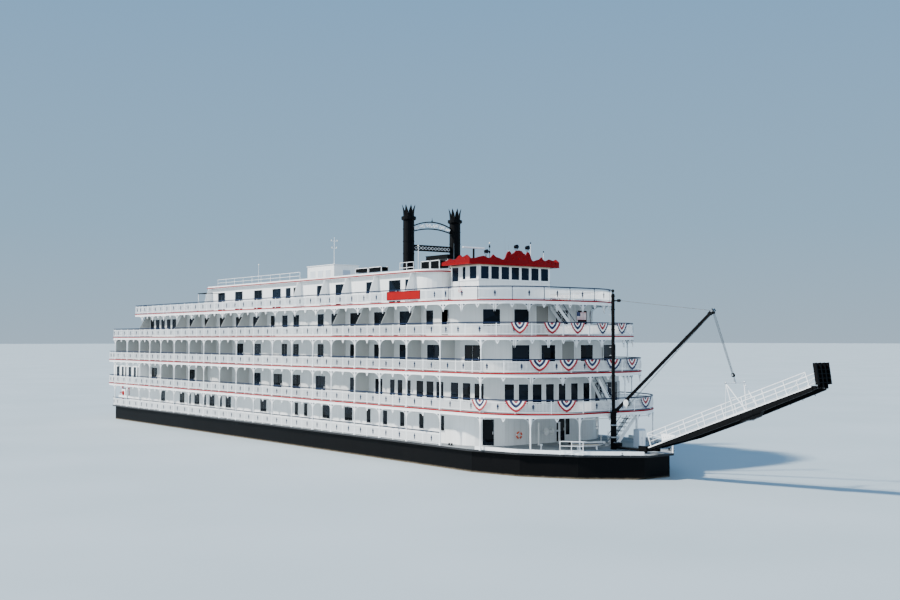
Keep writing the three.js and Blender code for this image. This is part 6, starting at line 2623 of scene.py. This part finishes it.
@dataclass
class Bunting:
    """Pleated half-round fans of cotton that hang from the front railings, and a striped flag.

    Attributes:
        head: height of a fan's straight edge over the deck.
        drop: depth of a fan.
        out: distance of its plane from the railing's place.
        lean: how much farther out its rim hangs.
        pleats: pleats in a fan.
        fold: how far the pleats stand out at the rim.
        draw: 1 for a half round, and more for a rim drawn in towards a point.
        thick: thickness of the cloth, drawn heavier than real so that it closes.
        flag: Y of the flag's two edges, and its foot and head.
        fly: X of the flag, and how far its folds swing.
    """

    head: float = 94.0
    drop: float = 82.0
    out: float = 10.5
    lean: float = 3.0
    pleats: int = 11
    fold: float = 4.5
    draw: float = 1.4
    thick: float = 0.9
    flag: tuple[Point2, Point2] = ((65.0, 162.0), (1350.0, 1411.0))
    fly: Point2 = (3128.0, 3.5)

    # Level, then the two ends of each fan along the deck's edge.
    ROWS = (
        (4, ((-694, -564), (-450, -312), (-210, -66), (66, 184), (274, 412))),
        (3, ((-616, -464), (-392, -224), (-152, 14), (78, 238), (286, 460))),
        (2, ((-1166, -1012), (-872, -714), (-502, -348), (308, 478))),
    )

    def build(self) -> None:
        """Makes every fan and the flag."""
        for level, fans in self.ROWS:
            for number, (start, end) in enumerate(fans, 1):
                self.build_fan(f"bunting_{level}_{number}", DECKS[level - 2], start, end)
        self.build_flag()

    def build_fan(self, name: str, deck: Deck, start: float, end: float) -> None:
        """Makes one fan in five bands, drawn in towards its foot.

        Args:
            name: the piece's name.
            deck: the deck whose railing it hangs from.
            start: its first end along the deck's edge.
            end: its other end.
        """
        form = Form(BLUE_COTTON, WHITE_COTTON, RED_COTTON)
        half, middle = (end - start) / 2, (end + start) / 2
        shares = (0.05, 0.2, 0.205, 0.34, 0.345, 0.6, 0.605, 0.78, 0.785, 1.0)
        bands = (2, 2, 1, 1, 0, 0, 1, 1, 2) if start < 0 else (0, 0, 1, 1, 2, 2, 1, 1, 0)
        count = 2 * self.pleats
        rows = []
        for share in shares:
            row = []
            for k in range(count + 1):
                angle = math.pi * k / count
                x = -math.copysign(abs(math.cos(angle)) ** self.draw, math.cos(angle))
                out = self.out + (self.fold * share if k % 2 else 0.0) + self.lean * share
                row.append((half * share * x, -out,
                            self.head - self.drop * share * math.sin(angle) ** self.draw))
            rows.append(row)
        with form.at(deck.edge.matrix(middle, 6.0, deck.top)):
            form.cloth(rows, (0.0, -self.thick, 0.0), [[band] * count for band in bands], 2)
        piece = form.place(name, "boat", "red_paint", sharp=80.0)

    def build_flag(self) -> None:
        """Makes the striped flag that hangs under the roof deck, to port of the upper stair."""
        form = Form(RED_COTTON, WHITE_COTTON, BLUE_COTTON)
        (y0, y1), (z0, z1) = self.flag
        columns, stripes = 12, 13
        rows = [[(self.fly[0] + self.fly[1] * math.sin(k * 1.1), y0 + (y1 - y0) * k / columns,
                  z1 - (z1 - z0) * i / stripes) for k in range(columns + 1)] for i in range(stripes + 1)]
        cells = [[2 if i < 7 and k < 5 else i % 2 for k in range(columns)] for i in range(stripes)]
        form.cloth(rows, (self.thick, 0.0, 0.0), cells, 1)
        piece = form.place("striped_flag", "boat", "red_paint", sharp=80.0)


@dataclass
class Dressing:
    """Blank name boards, lamps under the decks, and life rings beside the pilothouse.

    Attributes:
        board: X of the name boards' two ends, and their foot and head.
        board_y: distance of a name board's back from the middle line.
        lamps: distances along the front's edge of the lamps under each deck.
        ring: place of the life ring to port.
    """

    board: tuple[Point2, Point2] = ((1781.0, 2247.0), (1519.0, 1590.0))
    board_y: float = 803.0
    lamps: tuple[float, ...] = (-900, -600, -300, 0, 300, 600, 900)
    ring: Point3 = (2235.0, 389.0, 1600.0)

    def build(self) -> None:
        """Makes the boards, the lamps and the rings."""
        self.build_boards()
        self.build_lamps()
        form = Form(WHITE, ORANGE_PLASTIC)
        x, y, z = self.ring
        for side in Side:
            turn = 0.0 if side is Side.STARBOARD else math.pi
            add_life_ring(form, pose(x, side * y, z, turn), 20)
        form.place("life_rings", "boat", "white_paint")

    def build_boards(self) -> None:
        """Makes the blank name board on each side, with a raised rim."""
        form = Form(RED, DEEP_RED)
        x, z = self.board
        for side in Side:
            form.side_box(side, x, (self.board_y, self.board_y + 4), z, 0)
            faces = (side * (self.board_y + 3.6), side * (self.board_y + 5.4))
            form.prism(rectangle(x, z), Plane.SIDE, *faces, 1, [rectangle(x, z, -5)])
        form.place("name_boards", "boat", "red_paint")

    def build_lamps(self) -> None:
        """Makes a round lamp in each bay under the decks, and along their fronts."""
        form = Form(OPAL, WHITE)
        for deck in (*DECKS, ROOF):
            edge = deck.edge
            spots = [(x + 150, side * (edge.half - 60)) for x in COLUMN_X
                     if edge.stern + 60 < x - 30 < edge.front - 600 for side in Side]
            if deck is not ROOF:
                spots += [edge.spot(along, 70)[:2] for along in self.lamps]
            for x, y in spots:
                ceiling = (x, y, deck.top - DECK_PLATE - 0.3)
                form.turned([(9, 0), (9, -2.5), (7.5, -3)], ceiling, 1, 10)
                form.turned([(7, -2.6), (6, -6), (2.5, -8)], ceiling, 0, 10)
        form.place("deck_lamps", "boat", "white_paint")


@dataclass
class Studio:
    """Floor at the waterline, soft lights and the camera.

    Attributes:
        waterline: height of the water over the flat bottom, in metres.
        reach: half breadth of the floor, in metres.
        sky: place up the sky and sRGB hex of each of its stops.
        eye: the camera's place, in metres.
        heading: its horizontal direction.
        pitch_px: how far the horizon lies under the middle of the picture.
        focal_px: focal length in pixels of a picture 900 pixels wide.
    """

    waterline: float = 0.21
    reach: float = 240.0
    sky: tuple[tuple[float, str], ...] = ((0.0, "b9d3e8"), (0.1, "a4cbea"), (0.6, "5fa8e6"))
    eye: Point3 = (9.52, -6.06, 1.199)
    heading: Point2 = (-0.7947, 0.607)
    pitch_px: float = 39.3
    focal_px: float = 1130.0

    def build(self) -> None:
        """Makes the floor, the lights and the camera."""
        self.build_floor()
        self.build_lights()
        self.build_camera()

    def build_floor(self) -> None:
        """Makes a wide pale floor."""
        mesh = bpy.data.meshes.new("studio_floor")
        corners = rectangle((-self.reach, self.reach), (-self.reach, self.reach))
        mesh.from_pydata([(x, y, self.waterline) for x, y in corners], [], [(0, 1, 2, 3)])
        mesh.materials.append(Plaster("studio_plaster").material())
        floor = bpy.data.objects.new("studio_floor", mesh)
        bpy.context.scene.collection.objects.link(floor)

    def build_lights(self) -> None:
        """Makes the sky, a broad soft sun from starboard and aft, and two fills that leave no highlights."""
        world = bpy.data.worlds.new("studio")
        bpy.context.scene.world = world
        world.use_nodes = True
        tree = world.node_tree
        tree.nodes.clear()
        place = add_node(tree, "ShaderNodeTexCoord").outputs["Generated"]
        height = add_node(tree, "ShaderNodeSeparateXYZ", {0: place}).outputs[2]
        stops = [(share, linear(code)) for share, code in self.sky]
        sky = add_node(tree, "ShaderNodeValToRGB", {"Fac": height}, stops)
        light = add_node(tree, "ShaderNodeBackground", {"Color": sky.outputs["Color"], "Strength": 0.9})
        add_node(tree, "ShaderNodeOutputWorld", {"Surface": light.outputs[0]})
        self.add_sun("soft_sun", 8.2, 4.0, (1.0, 0.975, 0.93), (0.36, 0.66, -0.62))
        for fill in (self.add_sun("front_fill", 1.7, 80.0, (0.94, 0.97, 1.0), (-0.86, 0.34, -0.30)),
                     self.add_sun("low_fill", 1.3, 100.0, (1.0, 0.99, 0.96), (-0.30, 0.85, 0.18))):
            fill.visible_glossy = False

    def add_sun(self, name: str, strength: float, spread: float, colour: Point3,
                ahead: Point3) -> bpy.types.Object:
        """Adds a distant light.

        Args:
            name: its name.
            strength: its power, in watts per square metre.
            spread: its breadth in the sky, in degrees.
            colour: its linear colour.
            ahead: direction that the light travels.

        Returns:
            The lamp.
        """
        sun = bpy.data.lights.new(name, "SUN")
        sun.energy = strength
        sun.angle = math.radians(spread)
        sun.color = colour
        lamp = bpy.data.objects.new(name, sun)
        lamp.rotation_mode = "QUATERNION"
        lamp.rotation_quaternion = Vector(ahead).to_track_quat("-Z", "Y")
        bpy.context.scene.collection.objects.link(lamp)
        return lamp

    def build_camera(self) -> None:
        """Makes the camera at the photograph's place."""
        data = bpy.data.cameras.new("camera")
        data.sensor_width = 36.0
        data.lens = self.focal_px / 900.0 * data.sensor_width
        data.clip_end = 500.0
        camera = bpy.data.objects.new("camera", data)
        camera.location = self.eye
        pitch = math.atan(self.pitch_px / self.focal_px)
        flat = Vector((*self.heading, 0.0)).normalized()
        look = flat * math.cos(pitch) + Vector((0, 0, math.sin(pitch)))
        camera.rotation_mode = "QUATERNION"
        camera.rotation_quaternion = look.to_track_quat("-Z", "Y")
        bpy.context.scene.collection.objects.link(camera)
        bpy.context.scene.camera = camera


def main() -> None:
    """Builds every sub-assembly in order."""
    logging.basicConfig(level=logging.INFO, format="%(name)s %(message)s")
    Studio().build()
    Decks().build()
    Galleries().build()
    CabinWalls().build()
    Pilothouse().build()
    Stacks().build()
    Sternwheel().build()
    Derrick().build()
    LandingStage().build()
    Stairs().build()
    Foredeck().build()
    RoofGear().build()
    Bunting().build()
    Dressing().build()


if __name__ == "__main__":
    main()
